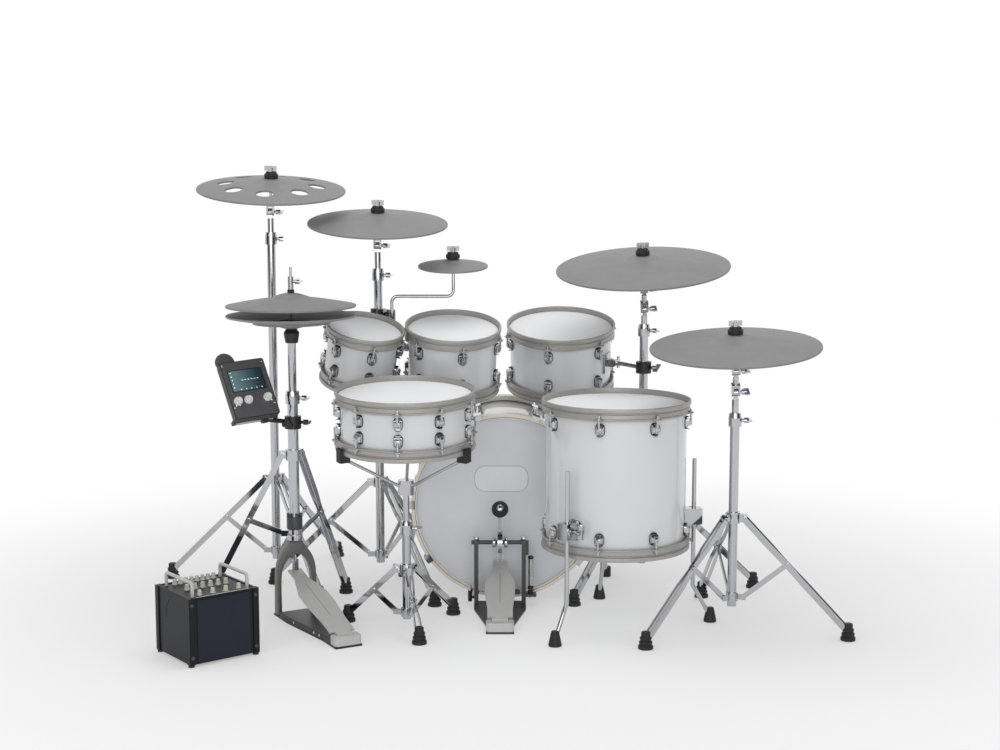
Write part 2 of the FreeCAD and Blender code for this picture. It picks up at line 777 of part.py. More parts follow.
def stand_leg(node, centre, angle, reach, top_r, top_z, mid_z, low_z):
    """Double-strip leg, its brace to the lower collar and its ribbed rubber foot."""
    out = turn(angle)
    side = turn(angle + 90)
    start = centre + out * top_r + UP * top_z
    end = centre + out * reach + UP * LEG_END_Z
    length = (end - start).Length
    middle = length * (top_z - mid_z) / (top_z - LEG_END_Z)
    frame = leg_frame(start, end, side)
    bar = leg_bar(length, middle)
    strips = []
    for spin in (0, 180):
        strip = placed(bar, V(), FreeCAD.Rotation(X_AXIS, spin))
        strips.append(placed(strip, frame.Base, frame.Rotation))
    pivot = start + (end - start).normalize() * middle
    low = centre + out * LEG_LOW_R + UP * low_z
    brace_long = (pivot - low).Length
    brace = slab(V(brace_long + 2 * LEG_OVER, 2 * LEG_PINCH, BRACE_DEPTH), V(brace_long / 2, 0, 0))
    brace_frame = leg_frame(low, pivot, side)
    add(node, *strips)
    add(node, placed(brace, brace_frame.Base, brace_frame.Rotation))
    add("rubber_feet", placed(rubber_foot(), centre + out * reach).cut(strips))


def top_collar(centre, angles, tube_dia, pivot_r, pivot_z):
    """Collar round the tube with one ear for each leg."""
    half = COLLAR_HIGH / 2
    ring = sleeve(tube_dia + 2 * COLLAR_WALL, tube_dia + 2 * SEAT, -half, half)
    ear_in = tube_dia / 2 + COLLAR_BITE
    ear_out = pivot_r + LEG_DEPTH / 2
    ear = slab(V(ear_out - ear_in, 2 * LEG_WIDE, COLLAR_EAR_HIGH), V((ear_in + ear_out) / 2, 0, 0))
    collar = ring.fuse([turned(ear, angle) for angle in angles])
    return placed(collar, centre + UP * pivot_z)


def low_collar(centre, angles, tube_dia, pivot_z):
    """Collar at the tube's foot with a side ear beside each brace."""
    half = LOW_COLLAR_HIGH / 2
    ring = sleeve(tube_dia + 2 * LOW_COLLAR_WALL, tube_dia + 2 * SEAT, -half, half)
    ear_in = tube_dia / 2 + COLLAR_BITE
    ear_out = LEG_LOW_R + LEG_DEPTH / 2
    beside = V((ear_in + ear_out) / 2, LEG_PINCH + LEG_BAR / 2, 0)
    ear = slab(V(ear_out - ear_in, LEG_BAR, LEG_DEPTH), beside)
    collar = ring.fuse([turned(ear, angle) for angle in angles])
    return placed(collar, centre + UP * pivot_z)


def funnel(centre, tube_dia, riser_dia, top):
    """Clamp at the tube's mouth that grips the upper tube, with its wing screw."""
    seat_r = tube_dia / 2 + SEAT
    mouth_r = riser_dia / 2 + RUN
    out_r = tube_dia / 2 + FUNNEL_WALL
    low = top - FUNNEL_BELOW
    high = top + FUNNEL_ABOVE
    cone = lathe([(seat_r, low), (out_r, low), (out_r, top), (out_r - FUNNEL_TAPER, high), (mouth_r, high),
                  (mouth_r, top), (seat_r, top)])
    screw = wing_bolt(V(out_r - SCREW_BITE, 0, top - SCREW_DOWN), X_AXIS, SCREW_REACH)
    return placed(cone.fuse(screw), centre)


def tripod(x, y, first_angle, reach, tube_top):
    node = "stand_tripods"
    centre = V(x, y, 0)
    angles = [first_angle + 120.0 * step for step in range(3)]
    add(node, placed(sleeve(TUBE_DIA, TUBE_DIA - 2 * TUBE_WALL, TUBE_LOW_Z, tube_top), centre))
    add(node, top_collar(centre, angles, TUBE_DIA, LEG_TOP_R, LEG_TOP_Z))
    add(node, low_collar(centre, angles, TUBE_DIA, LEG_LOW_Z))
    add(node, funnel(centre, TUBE_DIA, RISER_DIA, tube_top))
    for angle in angles:
        stand_leg(node, centre, angle, reach, LEG_TOP_R, LEG_TOP_Z, LEG_MID_Z, LEG_LOW_Z)


# Tilters and cymbals

def knuckle():
    """Bored barrel across X with a flat neck below it."""
    barrel = cylinder(2 * KNUCKLE_R, V(-KNUCKLE_WIDE / 2, 0, 0), X_AXIS * KNUCKLE_WIDE)
    neck = slab(V(KNUCKLE_WIDE, KNUCKLE_WIDE, NECK_LONG), UP * (-NECK_LONG / 2))
    bore = cylinder(HINGE_PIN + 2 * RUN, V(-KNUCKLE_WIDE, 0, 0), X_AXIS * (2 * KNUCKLE_WIDE))
    return barrel.fuse(neck), bore


def clevis():
    """Fork over the barrel: two cheeks, their bridge, the pin and a wing screw."""
    inside = KNUCKLE_WIDE / 2 + RUN
    high = KNUCKLE_R + FORK_CLEAR + BRIDGE_HIGH
    cheeks = []
    for edge in (inside, -inside - CHEEK_THICK):
        disc = cylinder(2 * CHEEK_R, V(edge, 0, 0), X_AXIS * CHEEK_THICK)
        plate = slab(V(CHEEK_THICK, 2 * CHEEK_R, high), V(edge + CHEEK_THICK / 2, 0, high / 2))
        cheeks += [disc, plate]
    across = 2 * (inside + CHEEK_THICK)
    bridge = slab(V(across, 2 * CHEEK_R, BRIDGE_HIGH), UP * (high - BRIDGE_HIGH / 2))
    pin = cylinder(HINGE_PIN, V(-across / 2, 0, 0), X_AXIS * across)
    screw = wing_bolt(V(across / 2, 0, 0), X_AXIS, PIN_SCREW_REACH)
    return bridge.fuse(cheeks + [pin, screw]), high


def riser(name, x, y, tube_top, hinge_z, lean):
    """Upper tube with a tilter barrel on top, turned to the cymbal's lean."""
    barrel, bore = knuckle()
    tube = rod(RISER_DIA, V(x, y, tube_top - RISER_INSIDE), V(x, y, hinge_z - NECK_SHOW))
    hinge = V(x, y, hinge_z)
    twist = leaning(0, lean)
    add(name, tube.fuse(placed(barrel, hinge, twist)).cut(placed(bore, hinge, twist)))


def cymbal_rise(dia):
    return BOW_SHARE * dia


def cymbal_disc(dia, bell_dia, bell_high):
    """Bowed disc with a bell: its edge's plane at zero height and its hole on the axis."""
    rim_r = dia / 2
    bell_r = bell_dia / 2
    bow = cymbal_rise(dia)
    knee = V((rim_r + bell_r) / 2, 0, bow * BOW_MID)
    thick = UP * CYMBAL_THICK
    low = [V(CYMBAL_HOLE / 2, 0, bow + bell_high),
           V(bell_r * BELL_MID, 0, bow + bell_high * (1 - BELL_MID ** 2)),
           V(bell_r, 0, bow)]
    edges = [Part.Arc(low[0], low[1], low[2]).toShape(),
             Part.Arc(low[2], knee, V(rim_r, 0, 0)).toShape(),
             Part.makeLine(V(rim_r, 0, 0), V(rim_r, 0, CYMBAL_EDGE)),
             Part.Arc(V(rim_r, 0, CYMBAL_EDGE), knee + thick, low[2] + thick).toShape(),
             Part.Arc(low[2] + thick, low[1] + thick, low[0] + thick).toShape(),
             Part.makeLine(low[0] + thick, low[0])]
    return Part.Face(Part.Wire(edges)).revolve(V(), UP, 360)


def cymbal_pieces(dia, bell_dia, vents=0):
    """The disc and the black puck that sits on its bell."""
    disc = cymbal_disc(dia, bell_dia, BELL_HIGH)
    if vents:
        spots = [turn(angle) * VENT_RING for angle in lug_turns(vents, VENT_TURN)]
        disc = disc.cut([cylinder(VENT_DIA, spot, UP * dia) for spot in spots])
    top = cymbal_rise(dia) + BELL_HIGH + CYMBAL_THICK
    return [disc, sleeve(PUCK_DIA, PUCK_BORE, top, top + PUCK_HIGH)]


def cymbal_stem(dia, below):
    """Rod through the cymbal with the cup under it and the wing nut above the puck."""
    under = cymbal_rise(dia) + BELL_HIGH - SEAT_GAP
    cup_low = under - SEAT_HIGH
    nut_low = cymbal_rise(dia) + BELL_HIGH + CYMBAL_THICK + PUCK_HIGH + NUT_GAP
    spine = rod(ROD_DIA, UP * -below, UP * (nut_low + NUT_HIGH + ROD_SHOW))
    cup = lathe([(0, cup_low), (SEAT_DIA / 2, cup_low), (SEAT_TOP_DIA / 2, under), (0, under)])
    hub = cylinder(NUT_DIA, UP * nut_low, UP * NUT_HIGH)
    wings = slab(V(WING_SPAN, WING_THICK, WING_HIGH), UP * (nut_low + NUT_HIGH * WING_UP))
    return spine.fuse([cup, hub, wings])


def cymbal_on_tilter(name, hinge, tilt, lean, dia, vents=0):
    """Fork and rod on the tilter's barrel, with the cymbal free to rock on the rod."""
    rotation = leaning(tilt, lean)
    fork, high = clevis()
    stem = placed(cymbal_stem(dia, STEM_LONG - high), UP * STEM_LONG).fuse(fork)
    add(name + "_stem", placed(stem, hinge, rotation))
    for piece in cymbal_pieces(dia, BELL_DIA, vents):
        add(name, placed(placed(piece, UP * STEM_LONG), hinge, rotation))


def boom_arm(name, hinge, lean):
    """Short arm between two tilters."""
    rotation = leaning(ARM_TILT, lean)
    fork, high = clevis()
    barrel, bore = knuckle()
    top = UP * ARM_LONG
    bar = rod(ARM_DIA, UP * high, UP * (ARM_LONG - NECK_SHOW))
    arm = fork.fuse([bar, placed(barrel, top)]).cut(placed(bore, top))
    add(name, placed(arm, hinge, rotation))
    return hinge + rotation.multVec(top)


def cymbal_stands():
    left = V(CRASH1_X, CRASH1_Y, CRASH1_HINGE_Z)
    tripod(CRASH1_X, CRASH1_Y, CRASH1_LEG_TURN, STAND_REACH, CRASH1_TUBE_TOP)
    riser("crash_left_riser", CRASH1_X, CRASH1_Y, CRASH1_TUBE_TOP, CRASH1_HINGE_Z, CRASH1_LEAN)
    cymbal_on_tilter("crash_left", left, CRASH1_TILT, CRASH1_LEAN, CRASH1_DIA, VENT_COUNT)
    middle = V(CRASH2_X, CRASH2_Y, CRASH2_HINGE_Z)
    tripod(CRASH2_X, CRASH2_Y, CRASH2_LEG_TURN, STAND_REACH, CRASH2_TUBE_TOP)
    riser("crash_middle_riser", CRASH2_X, CRASH2_Y, CRASH2_TUBE_TOP, CRASH2_HINGE_Z, CRASH2_LEAN)
    cymbal_on_tilter("crash_middle", middle, CRASH2_TILT, CRASH2_LEAN, CRASH2_DIA)
    tripod(RIDE_X, RIDE_Y, RIDE_LEG_TURN, RIDE_REACH, RIDE_TUBE_TOP)
    riser("ride_riser", RIDE_X, RIDE_Y, RIDE_TUBE_TOP, RIDE_HINGE_Z, RIDE_LEAN)
    ride_hinge = boom_arm("ride_arm", V(RIDE_X, RIDE_Y, RIDE_HINGE_Z), RIDE_LEAN)
    cymbal_on_tilter("ride", ride_hinge, RIDE_TILT, RIDE_LEAN, RIDE_DIA)
    tripod(CRASH3_X, CRASH3_Y, CRASH3_LEG_TURN, STAND_REACH, CRASH3_TUBE_TOP)
    riser("crash_right_riser", CRASH3_X, CRASH3_Y, CRASH3_TUBE_TOP, CRASH3_HINGE_Z, CRASH3_LEAN)
    right_hinge = boom_arm("crash_right_arm", V(CRASH3_X, CRASH3_Y, CRASH3_HINGE_Z), CRASH3_LEAN)
    cymbal_on_tilter("crash_right", right_hinge, CRASH3_TILT, CRASH3_LEAN, CRASH3_DIA)


def splash():
    """Small cymbal on a cranked rod clamped to the middle stand's tube."""
    rotation = leaning(SPLASH_TILT)
    base = V(SPLASH_X, SPLASH_Y, SPLASH_Z)
    for piece in cymbal_pieces(SPLASH_DIA, SPLASH_BELL_DIA):
        add("splash", placed(piece, base, rotation))
    stem = placed(cymbal_stem(SPLASH_DIA, SPLASH_STEM_LOW), base, rotation)
    top = base + rotation.multVec(UP * -SPLASH_STEM_TOP)
    corner = V(SPLASH_X, SPLASH_Y, SPLASH_ARM_Z)
    bend = V(SPLASH_DROP_X, SPLASH_Y, SPLASH_ARM_Z)
    foot = V(SPLASH_DROP_X, SPLASH_Y, SPLASH_CLAMP_Z - HOLDER_HIGH / 2)
    dia = SPLASH_ARM_DIA
    upper_bend, rise_end, run_start = elbow(dia, top, corner, bend, SPLASH_BEND)
    lower_bend, run_end, drop_start = elbow(dia, corner, bend, foot, SPLASH_BEND)
    rise = stem.fuse([Part.makeSphere(dia / 2, top), rod(dia, top, rise_end)])
    add("tom_holders", rise, upper_bend, rod(dia, run_start, run_end), lower_bend)
    add("tom_holders", rod(dia, drop_start, foot))
    centre = V(CRASH2_X, CRASH2_Y, SPLASH_CLAMP_Z)
    reach = foot - V(CRASH2_X, CRASH2_Y, foot.z)
    grip = cylinder(SPLASH_GRIP_DIA, foot, UP * HOLDER_HIGH)
    bridge = slab(V(reach.Length, SPLASH_BRIDGE, HOLDER_HIGH), X_AXIS * (reach.Length / 2))
    bridge = placed(bridge, centre, FreeCAD.Rotation(X_AXIS, reach))
    screw = wing_bolt(centre - Y_AXIS * (HOLDER_DIA / 2 - SCREW_BITE), -Y_AXIS, SCREW_REACH)
    bores = [cylinder(TUBE_DIA + 2 * SEAT, centre - UP * HOLDER_HIGH, UP * (2 * HOLDER_HIGH)),
             cylinder(dia + 2 * SEAT, foot - UP * HOLDER_HIGH, UP * (3 * HOLDER_HIGH))]
    add("tom_holders", placed(holder_ring(TUBE_DIA), centre).fuse([grip, bridge, screw]).cut(bores))


def holder_ring(tube_dia):
    """Clamp ring round a stand's tube."""
    return sleeve(HOLDER_DIA, tube_dia + 2 * SEAT, -HOLDER_HIGH / 2, HOLDER_HIGH / 2)


# Toms on their holders

def tom_hinge(base, rotation, dia, span, stand):
    """Point of the tilting pin, level direction to the stand and its turn round the shell."""
    middle = base + rotation.multVec(UP * (-span / 2))
    out = V(stand.x - middle.x, stand.y - middle.y, 0).normalize()
    local_out = rotation.inverted().multVec(out)
    facing = math.degrees(math.atan2(local_out.y, local_out.x))
    wall = middle + rotation.multVec(turn(facing) * (dia / 2))
    return wall + out * TOM_HINGE_OUT, out, facing


def hung_tom(name, base, rotation, dia, span, turns, stand, holder_z, screw_side):
    """Tom with a tilting fork on its shell, on a rod from a clamp round the stand's tube."""
    metal_hooped_drum(name, base, rotation, dia, span, turns)
    shell_r = dia / 2
    hinge, out, facing = tom_hinge(base, rotation, dia, span, stand)
    across = UP.cross(out) * screw_side
    aim = FreeCAD.Rotation(across, across.cross(out), out * -1, "XYZ")
    fork = clevis()[0]
    plate_size = V(TOM_PLATE_THICK, TOM_PLATE_WIDE, TOM_PLATE_HIGH)
    plate = turned(slab(plate_size, V(shell_r + TOM_PLATE_THICK / 2, 0, -span / 2)), facing)
    bulge = placed(Part.makeCylinder(shell_r, span, UP * -span), base, rotation)
    bracket = placed(fork, hinge, aim).fuse(placed(plate, base, rotation))
    add(name + "_lugs", bracket.cut(bulge))
    centre = V(stand.x, stand.y, holder_z)
    barrel, bore = knuckle()
    end = placed(barrel.cut(bore), hinge, aim)
    arm = rod(HOLDER_ROD_DIA, hinge + out * NECK_SHOW, centre - out * (TUBE_DIA / 2 + HOLDER_BITE))
    knob = wing_bolt(out * (HOLDER_DIA / 2 - SCREW_BITE), out, SCREW_REACH)
    add("tom_holders", placed(holder_ring(TUBE_DIA).fuse(knob), centre).fuse([arm, end]))


def hung_toms():
    middle_stand = V(CRASH2_X, CRASH2_Y, 0)
    ride_stand = V(RIDE_X, RIDE_Y, 0)
    hung_tom("tom1", V(TOM1_X, TOM1_Y, TOM1_RIM_Z), leaning(TOM1_TILT, TOM1_LEAN), TOM1_DIA, TOM1_SPAN,
             lug_turns(TOM_LUGS, TOM1_LUG_TURN), middle_stand, HOLDER1_Z, 1)
    hung_tom("tom2", V(TOM2_X, TOM2_Y, TOM2_RIM_Z), leaning(TOM2_TILT, TOM2_LEAN), TOM2_DIA, TOM2_SPAN,
             lug_turns(TOM_LUGS, TOM2_LUG_TURN), middle_stand, HOLDER2_Z, -1)
    hung_tom("tom3", V(TOM3_X, TOM3_Y, TOM3_RIM_Z), leaning(TOM3_TILT, TOM3_LEAN), TOM3_DIA, TOM3_SPAN,
             lug_turns(TOM_LUGS, TOM3_LUG_TURN), ride_stand, HOLDER3_Z, 1)


# Snare drum in its cradle

def snare_drum():
    base = V(SNARE_X, SNARE_Y, SNARE_RIM_Z)
    rotation = leaning(SNARE_TILT)
    turns = lug_turns(SNARE_LUGS, SNARE_LUG_TURN)
    metal_hooped_drum("snare", base, rotation, SNARE_DIA, SNARE_SPAN, turns)
    hub_drop = (SNARE_RIM_Z - CRADLE_HUB_Z) / math.cos(math.radians(SNARE_TILT))
    hub = base + rotation.multVec(UP * -hub_drop)
    snare_cradle(base, rotation, hub, hub_drop)
    snare_stand(V(hub.x, hub.y, 0))


def snare_cradle(base, rotation, hub, hub_drop):
    """Hub on the upper tube, three arms and their rubber grips under the bottom hoop."""
    shell_r = SNARE_DIA / 2
    lip = shell_r + HOOP_LIP
    low = -SNARE_SPAN
    body = cylinder(CRADLE_HUB_DIA, hub - UP * (CRADLE_HUB_HIGH / 2), UP * CRADLE_HUB_HIGH)
    tube = rod(CRADLE_RISER_DIA, V(hub.x, hub.y, CRADLE_TUBE_TOP - CRADLE_INSIDE), hub)
    floor = low - CRADLE_TIP_FLOOR
    back = shell_r - CRADLE_TIP_IN
    front = lip + CRADLE_TIP_WALL
    top = low + CRADLE_TIP_RISE
    inner = lip + RUN
    corners = [(back, floor), (front, floor), (front, top), (inner, top), (inner, low), (back, low)]
    outline = [V(r, -CRADLE_TIP_WIDE / 2, z) for r, z in corners]
    grip = prism(outline, V(0, CRADLE_TIP_WIDE, 0))
    arm_end = V(lip - CRADLE_ARM_IN, 0, low - CRADLE_TIP_FLOOR / 2)
    arm = rod(CRADLE_ARM_DIA, V(CRADLE_HUB_DIA / 4, 0, -hub_drop), arm_end)
    core = tube.fuse(body)
    add("snare_cradle", core)
    for angle in CRADLE_ARM_ANGLES:
        add("snare_cradle", placed(turned(arm, angle), base, rotation).cut(core))
        add("snare_cradle", placed(turned(grip.cut(arm), angle), base, rotation))


def snare_stand(centre):
    node = "stand_tripods"
    angles = [CRADLE_LEG_TURN + 120.0 * step for step in range(3)]
    bore = CRADLE_RISER_DIA + 2 * RUN
    add(node, placed(sleeve(CRADLE_TUBE_DIA, bore, CRADLE_TUBE_LOW, CRADLE_TUBE_TOP), centre))
    add(node, top_collar(centre, angles, CRADLE_TUBE_DIA, LEG_TOP_R, CRADLE_LEG_TOP_Z))
    add(node, low_collar(centre, angles, CRADLE_TUBE_DIA, CRADLE_LEG_LOW_Z))
    add(node, funnel(centre, CRADLE_TUBE_DIA, CRADLE_RISER_DIA, CRADLE_TUBE_TOP))
    for angle in angles:
        stand_leg(node, centre, angle, CRADLE_REACH, LEG_TOP_R, CRADLE_LEG_TOP_Z, CRADLE_LEG_MID_Z,
                  CRADLE_LEG_LOW_Z)


# Pedals

def heel_hinge(hinge, heel_y):
    """Heel plate on the base with two ears and the footboard's pin between them."""
    inside = HEEL_WIDE / 2 - HEEL_EAR
    ears = []
    for side in (-1, 1):
        middle = hinge + X_AXIS * (side * (HEEL_WIDE / 2 - HEEL_EAR / 2))
        ears.append(cylinder(HEEL_EAR_DIA, middle - X_AXIS * (HEEL_EAR / 2), X_AXIS * HEEL_EAR))
    back = hinge.y + HEEL_CAP_BACK
    size = V(HEEL_WIDE + 2 * HEEL_MARGIN, back - heel_y, HEEL_CAP_Z - PLATE_THICK)
    cap = slab(size, V(hinge.x, (back + heel_y) / 2, (HEEL_CAP_Z + PLATE_THICK) / 2))
    notch = slab(V(2 * inside, HEEL_BARREL + 2 * HEEL_MARGIN, 2 * HEEL_CAP_Z), hinge)
    pin = cylinder(HEEL_PIN, hinge - X_AXIS * (HEEL_WIDE / 2), X_AXIS * HEEL_WIDE)
    return cap.cut(notch).fuse(ears + [pin])


def footboard(long, toe_wide):
    """Waisted plate on a heel barrel, lying along +Y from the hinge."""
    half = BOARD_WIDE / 2
    heel = HEEL_WIDE / 2
    toe = toe_wide / 2
    low = UP * BOARD_LIFT
    sides = [(heel, BOARD_START), (heel, long * BOARD_HEEL_END), (half, long * BOARD_WIDE_START),
             (half, long * BOARD_WIDE_END), (toe, long * BOARD_TOE_START), (toe, long)]
    plate = prism(mirrored(sides, low), UP * BOARD_THICK)
    inside = HEEL_WIDE / 2 - HEEL_EAR - RUN
    neck_long = BOARD_START + BOARD_LAP
    barrel = cylinder(HEEL_BARREL, V(-inside, 0, 0), X_AXIS * (2 * inside))
    neck = slab(V(2 * inside, neck_long, BOARD_THICK), V(0, neck_long / 2, BOARD_LIFT + BOARD_THICK / 2))
    bore = cylinder(HEEL_PIN + 2 * RUN, V(-inside, 0, 0), X_AXIS * (2 * inside))
    return plate.fuse([barrel, neck]).cut(bore)


def mirrored(sides, shift):
    """Outline of a flat piece that is the same left and right, from its right-hand points."""
    right = [V(x, y, 0) + shift for x, y in sides]
    left = [V(-x, y, 0) + shift for x, y in reversed(sides)]
    return right + left


def pedal_plate(heel_y, flare_y, front_y, front_wide):
    heel = HEEL_WIDE / 2 + HEEL_MARGIN
    front = front_wide / 2
    widen_y = heel_y + (flare_y - heel_y) * PLATE_FLARE
    sides = [(heel, heel_y), (heel, widen_y), (front, flare_y), (front, front_y)]
    return prism(mirrored(sides, V()), UP * PLATE_THICK)


def kick_pedal():
    hinge = V(0, KICK_HINGE_Y, HEEL_HINGE_Z)
    axle = V(0, KICK_POST_Y, KICK_AXLE_Z)
    plate = pedal_plate(KICK_HEEL_Y, KICK_FLARE_Y, KICK_BASE_FRONT, KICK_BASE_WIDE)
    tongue_end = KICK_FRONT_Y + KICK_HOOP_DEEP
    tongue_long = tongue_end - KICK_POST_Y
    tongue_at = V(0, tongue_end - tongue_long / 2, PLATE_THICK / 2)
    tongue = slab(V(JAW_WIDE, tongue_long, PLATE_THICK), tongue_at)
    add("kick_pedal_frame", plate.fuse(tongue), heel_hinge(hinge, KICK_HEEL_Y))
    bore_start = axle - X_AXIS * KICK_BASE_WIDE
    bore = cylinder(KICK_AXLE_DIA + 2 * RUN, bore_start, X_AXIS * (2 * KICK_BASE_WIDE))
    for side in (-1, 1):
        add("kick_pedal_frame", pedal_post(side).cut(bore))
    add("kick_pedal_frame", hoop_jaw())
    pedal_spring()
    kick_footboard(hinge, axle)
    kick_beater(axle)


def pedal_post(side):
    """Upright with a round bearing head for the axle."""
    x = side * KICK_POST_X
    high = KICK_AXLE_Z - PLATE_THICK
    post = slab(V(KICK_POST_WIDE, KICK_POST_DEEP, high), V(x, KICK_POST_Y, PLATE_THICK + high / 2))
    head_start = V(x - KICK_POST_WIDE / 2, KICK_POST_Y, KICK_AXLE_Z)
    head = cylinder(KICK_POST_DEEP, head_start, X_AXIS * KICK_POST_WIDE)
    return post.fuse(head)


def hoop_jaw():
    """Clamp block on the base plate whose lip bears on the inside of the kick drum's hoop."""
    face_y = KICK_FRONT_Y - SEAT
    lip_z = KICK_Z - KICK_DIA / 2 - KICK_HOOP_BORE
    high = lip_z + JAW_LIP_HIGH - PLATE_THICK
    block = slab(V(JAW_WIDE, JAW_THICK * 2, high), V(0, face_y - JAW_THICK, PLATE_THICK + high / 2))
    reach = KICK_HEAD_DROP - LEDGE_THICK - 2 * SEAT
    lip_at = V(0, face_y + (reach - JAW_THICK) / 2, lip_z + JAW_LIP_HIGH / 2)
    lip = slab(V(JAW_WIDE, reach + JAW_THICK, JAW_LIP_HIGH), lip_at)
    bore_r = KICK_DIA / 2 + KICK_HOOP_BORE - SEAT
    inside = Part.makeCylinder(bore_r, KICK_SPAN, V(KICK_X, KICK_FRONT_Y - KICK_SPAN / 2, KICK_Z), Y_AXIS)
    screw_at = V(JAW_WIDE / 2, face_y - JAW_THICK, PLATE_THICK + high * JAW_SCREW_UP)
    return block.fuse([lip.common(inside), wing_bolt(screw_at, X_AXIS, SCREW_REACH)])


def pedal_spring():
    """Return spring on an adjuster beside the right-hand post."""
    x = KICK_POST_X + KICK_POST_WIDE / 2
    foot_at = V(x + SPRING_DIA, KICK_POST_Y, SPRING_LOW_Z - SPRING_FOOT / 2)
    foot = slab(V(2 * SPRING_DIA, KICK_POST_DEEP, SPRING_FOOT), foot_at)
    axis = V(x + SPRING_OUT, KICK_POST_Y, SPRING_LOW_Z)
    coil = cylinder(SPRING_DIA, axis, UP * (SPRING_HIGH_Z - SPRING_LOW_Z))
    add("kick_pedal_frame", foot, coil)


def kick_footboard(hinge, axle):
    """Footboard with the two rails that drive the cam."""
    run = KICK_TOE_Y - KICK_HINGE_Y
    rise = KICK_TOE_Z - HEEL_HINGE_Z
    pitch = math.degrees(math.atan2(rise, run))
    board = placed(footboard(math.hypot(run, rise), TOE_WIDE), hinge, FreeCAD.Rotation(X_AXIS, pitch))
    link_y = axle.y + CAM_DIA / 2 + RUN + LINK_THICK / 2
    rails = []
    for side in (-1, 1):
        x = side * LINK_GAP / 2
        foot_z = HEEL_HINGE_Z + (link_y - KICK_HINGE_Y) * math.tan(math.radians(pitch)) + BOARD_LIFT
        rails.append(rod(LINK_THICK, V(x, link_y, foot_z), V(x, link_y, axle.z)))
    cross = slab(V(LINK_GAP + LINK_THICK, LINK_THICK, LINK_THICK), V(0, link_y, axle.z))
    add("kick_footboard", board.fuse(rails + [cross]))


def kick_beater(axle):
    """Axle, cam, rod, ball and the spring's crank, all turning together."""
    lever = V(0, BEATER_Y - axle.y, KICK_Z + BEATER_UP - axle.z)
    shaft = cylinder(KICK_AXLE_DIA, axle - X_AXIS * AXLE_HALF, X_AXIS * (2 * AXLE_HALF))
    cam = cylinder(CAM_DIA, axle - X_AXIS * (CAM_WIDE / 2), X_AXIS * CAM_WIDE)
    stick = rod(BEATER_ROD_DIA, axle, axle + lever)
    ball = Part.makeSphere(BEATER_DIA / 2, axle + lever)
    crank_x = KICK_POST_X + KICK_POST_WIDE / 2 + RUN
    crank_at = V((AXLE_HALF + crank_x) / 2, axle.y, axle.z - CRANK_LONG / 2)
    crank = slab(V(AXLE_HALF - crank_x, KICK_AXLE_DIA, CRANK_LONG), crank_at)
    add("kick_beater", shaft.fuse([cam, stick, crank]).cut(ball), ball)


# Hi-hat

def hihat():
    centre = V(HAT_X, HAT_Y, 0)
    pedal_turn = FreeCAD.Rotation(UP, HAT_TURN)
    hihat_stand(centre, pedal_turn)
    pitch = hihat_footboard(centre, pedal_turn)
    hihat_cymbals(centre)
    hihat_rod(centre, pitch)


def hihat_stand(centre, pedal_turn):
    """Base plate, arched yoke, two-part tube, cup and the two legs."""
    node = "hihat_stand"
    plate = pedal_plate(-HAT_HEEL, -HAT_YOKE_DEEP * 2, HAT_YOKE_DEEP / 2, HAT_YOKE_WIDE)
    hinge = heel_hinge(V(0, HAT_HINGE_Y, HEEL_HINGE_Z), -HAT_HEEL)
    rod_bore = HAT_ROD_DIA + 4 * RUN
    yoke = hihat_yoke().cut(cylinder(rod_bore, V(), UP * HAT_TUBE_TOP))
    for piece in (plate, hinge, yoke):
        add(node, placed(piece, centre, pedal_turn))
    tube_in = HAT_UPPER_DIA + 2 * RUN
    upper_in = HAT_UPPER_DIA - 2 * TUBE_WALL
    upper_low = HAT_TUBE_TOP - HAT_UPPER_INSIDE
    add(node, placed(sleeve(HAT_TUBE_DIA, tube_in, HAT_YOKE_TOP, HAT_TUBE_TOP), centre))
    add(node, placed(sleeve(HAT_UPPER_DIA, upper_in, upper_low, HAT_SEAT_Z), centre))
    add(node, funnel(centre, HAT_TUBE_DIA, HAT_UPPER_DIA, HAT_TUBE_TOP))
    bell_low = HAT_LOW_Z - cymbal_rise(HAT_DIA) - HAT_BELL_HIGH - CYMBAL_THICK
    cup = lathe([(rod_bore / 2, HAT_SEAT_Z), (HAT_SEAT_LOW_DIA / 2, HAT_SEAT_Z),
                 (HAT_SEAT_DIA / 2, bell_low - HAT_SEAT_SHOULDER), (HAT_SEAT_TOP_DIA / 2, bell_low),
                 (rod_bore / 2, bell_low)])
    add(node, placed(cup, centre))
    add(node, top_collar(centre, HAT_LEG_ANGLES, HAT_TUBE_DIA, HAT_LEG_TOP_R, HAT_LEG_TOP_Z))
    add(node, low_collar(centre, HAT_LEG_ANGLES, HAT_TUBE_DIA, HAT_LEG_LOW_Z))
    for angle in HAT_LEG_ANGLES:
        stand_leg(node, centre, angle, HAT_LEG_REACH, HAT_LEG_TOP_R, HAT_LEG_TOP_Z, HAT_LEG_MID_Z,
                  HAT_LEG_LOW_Z)


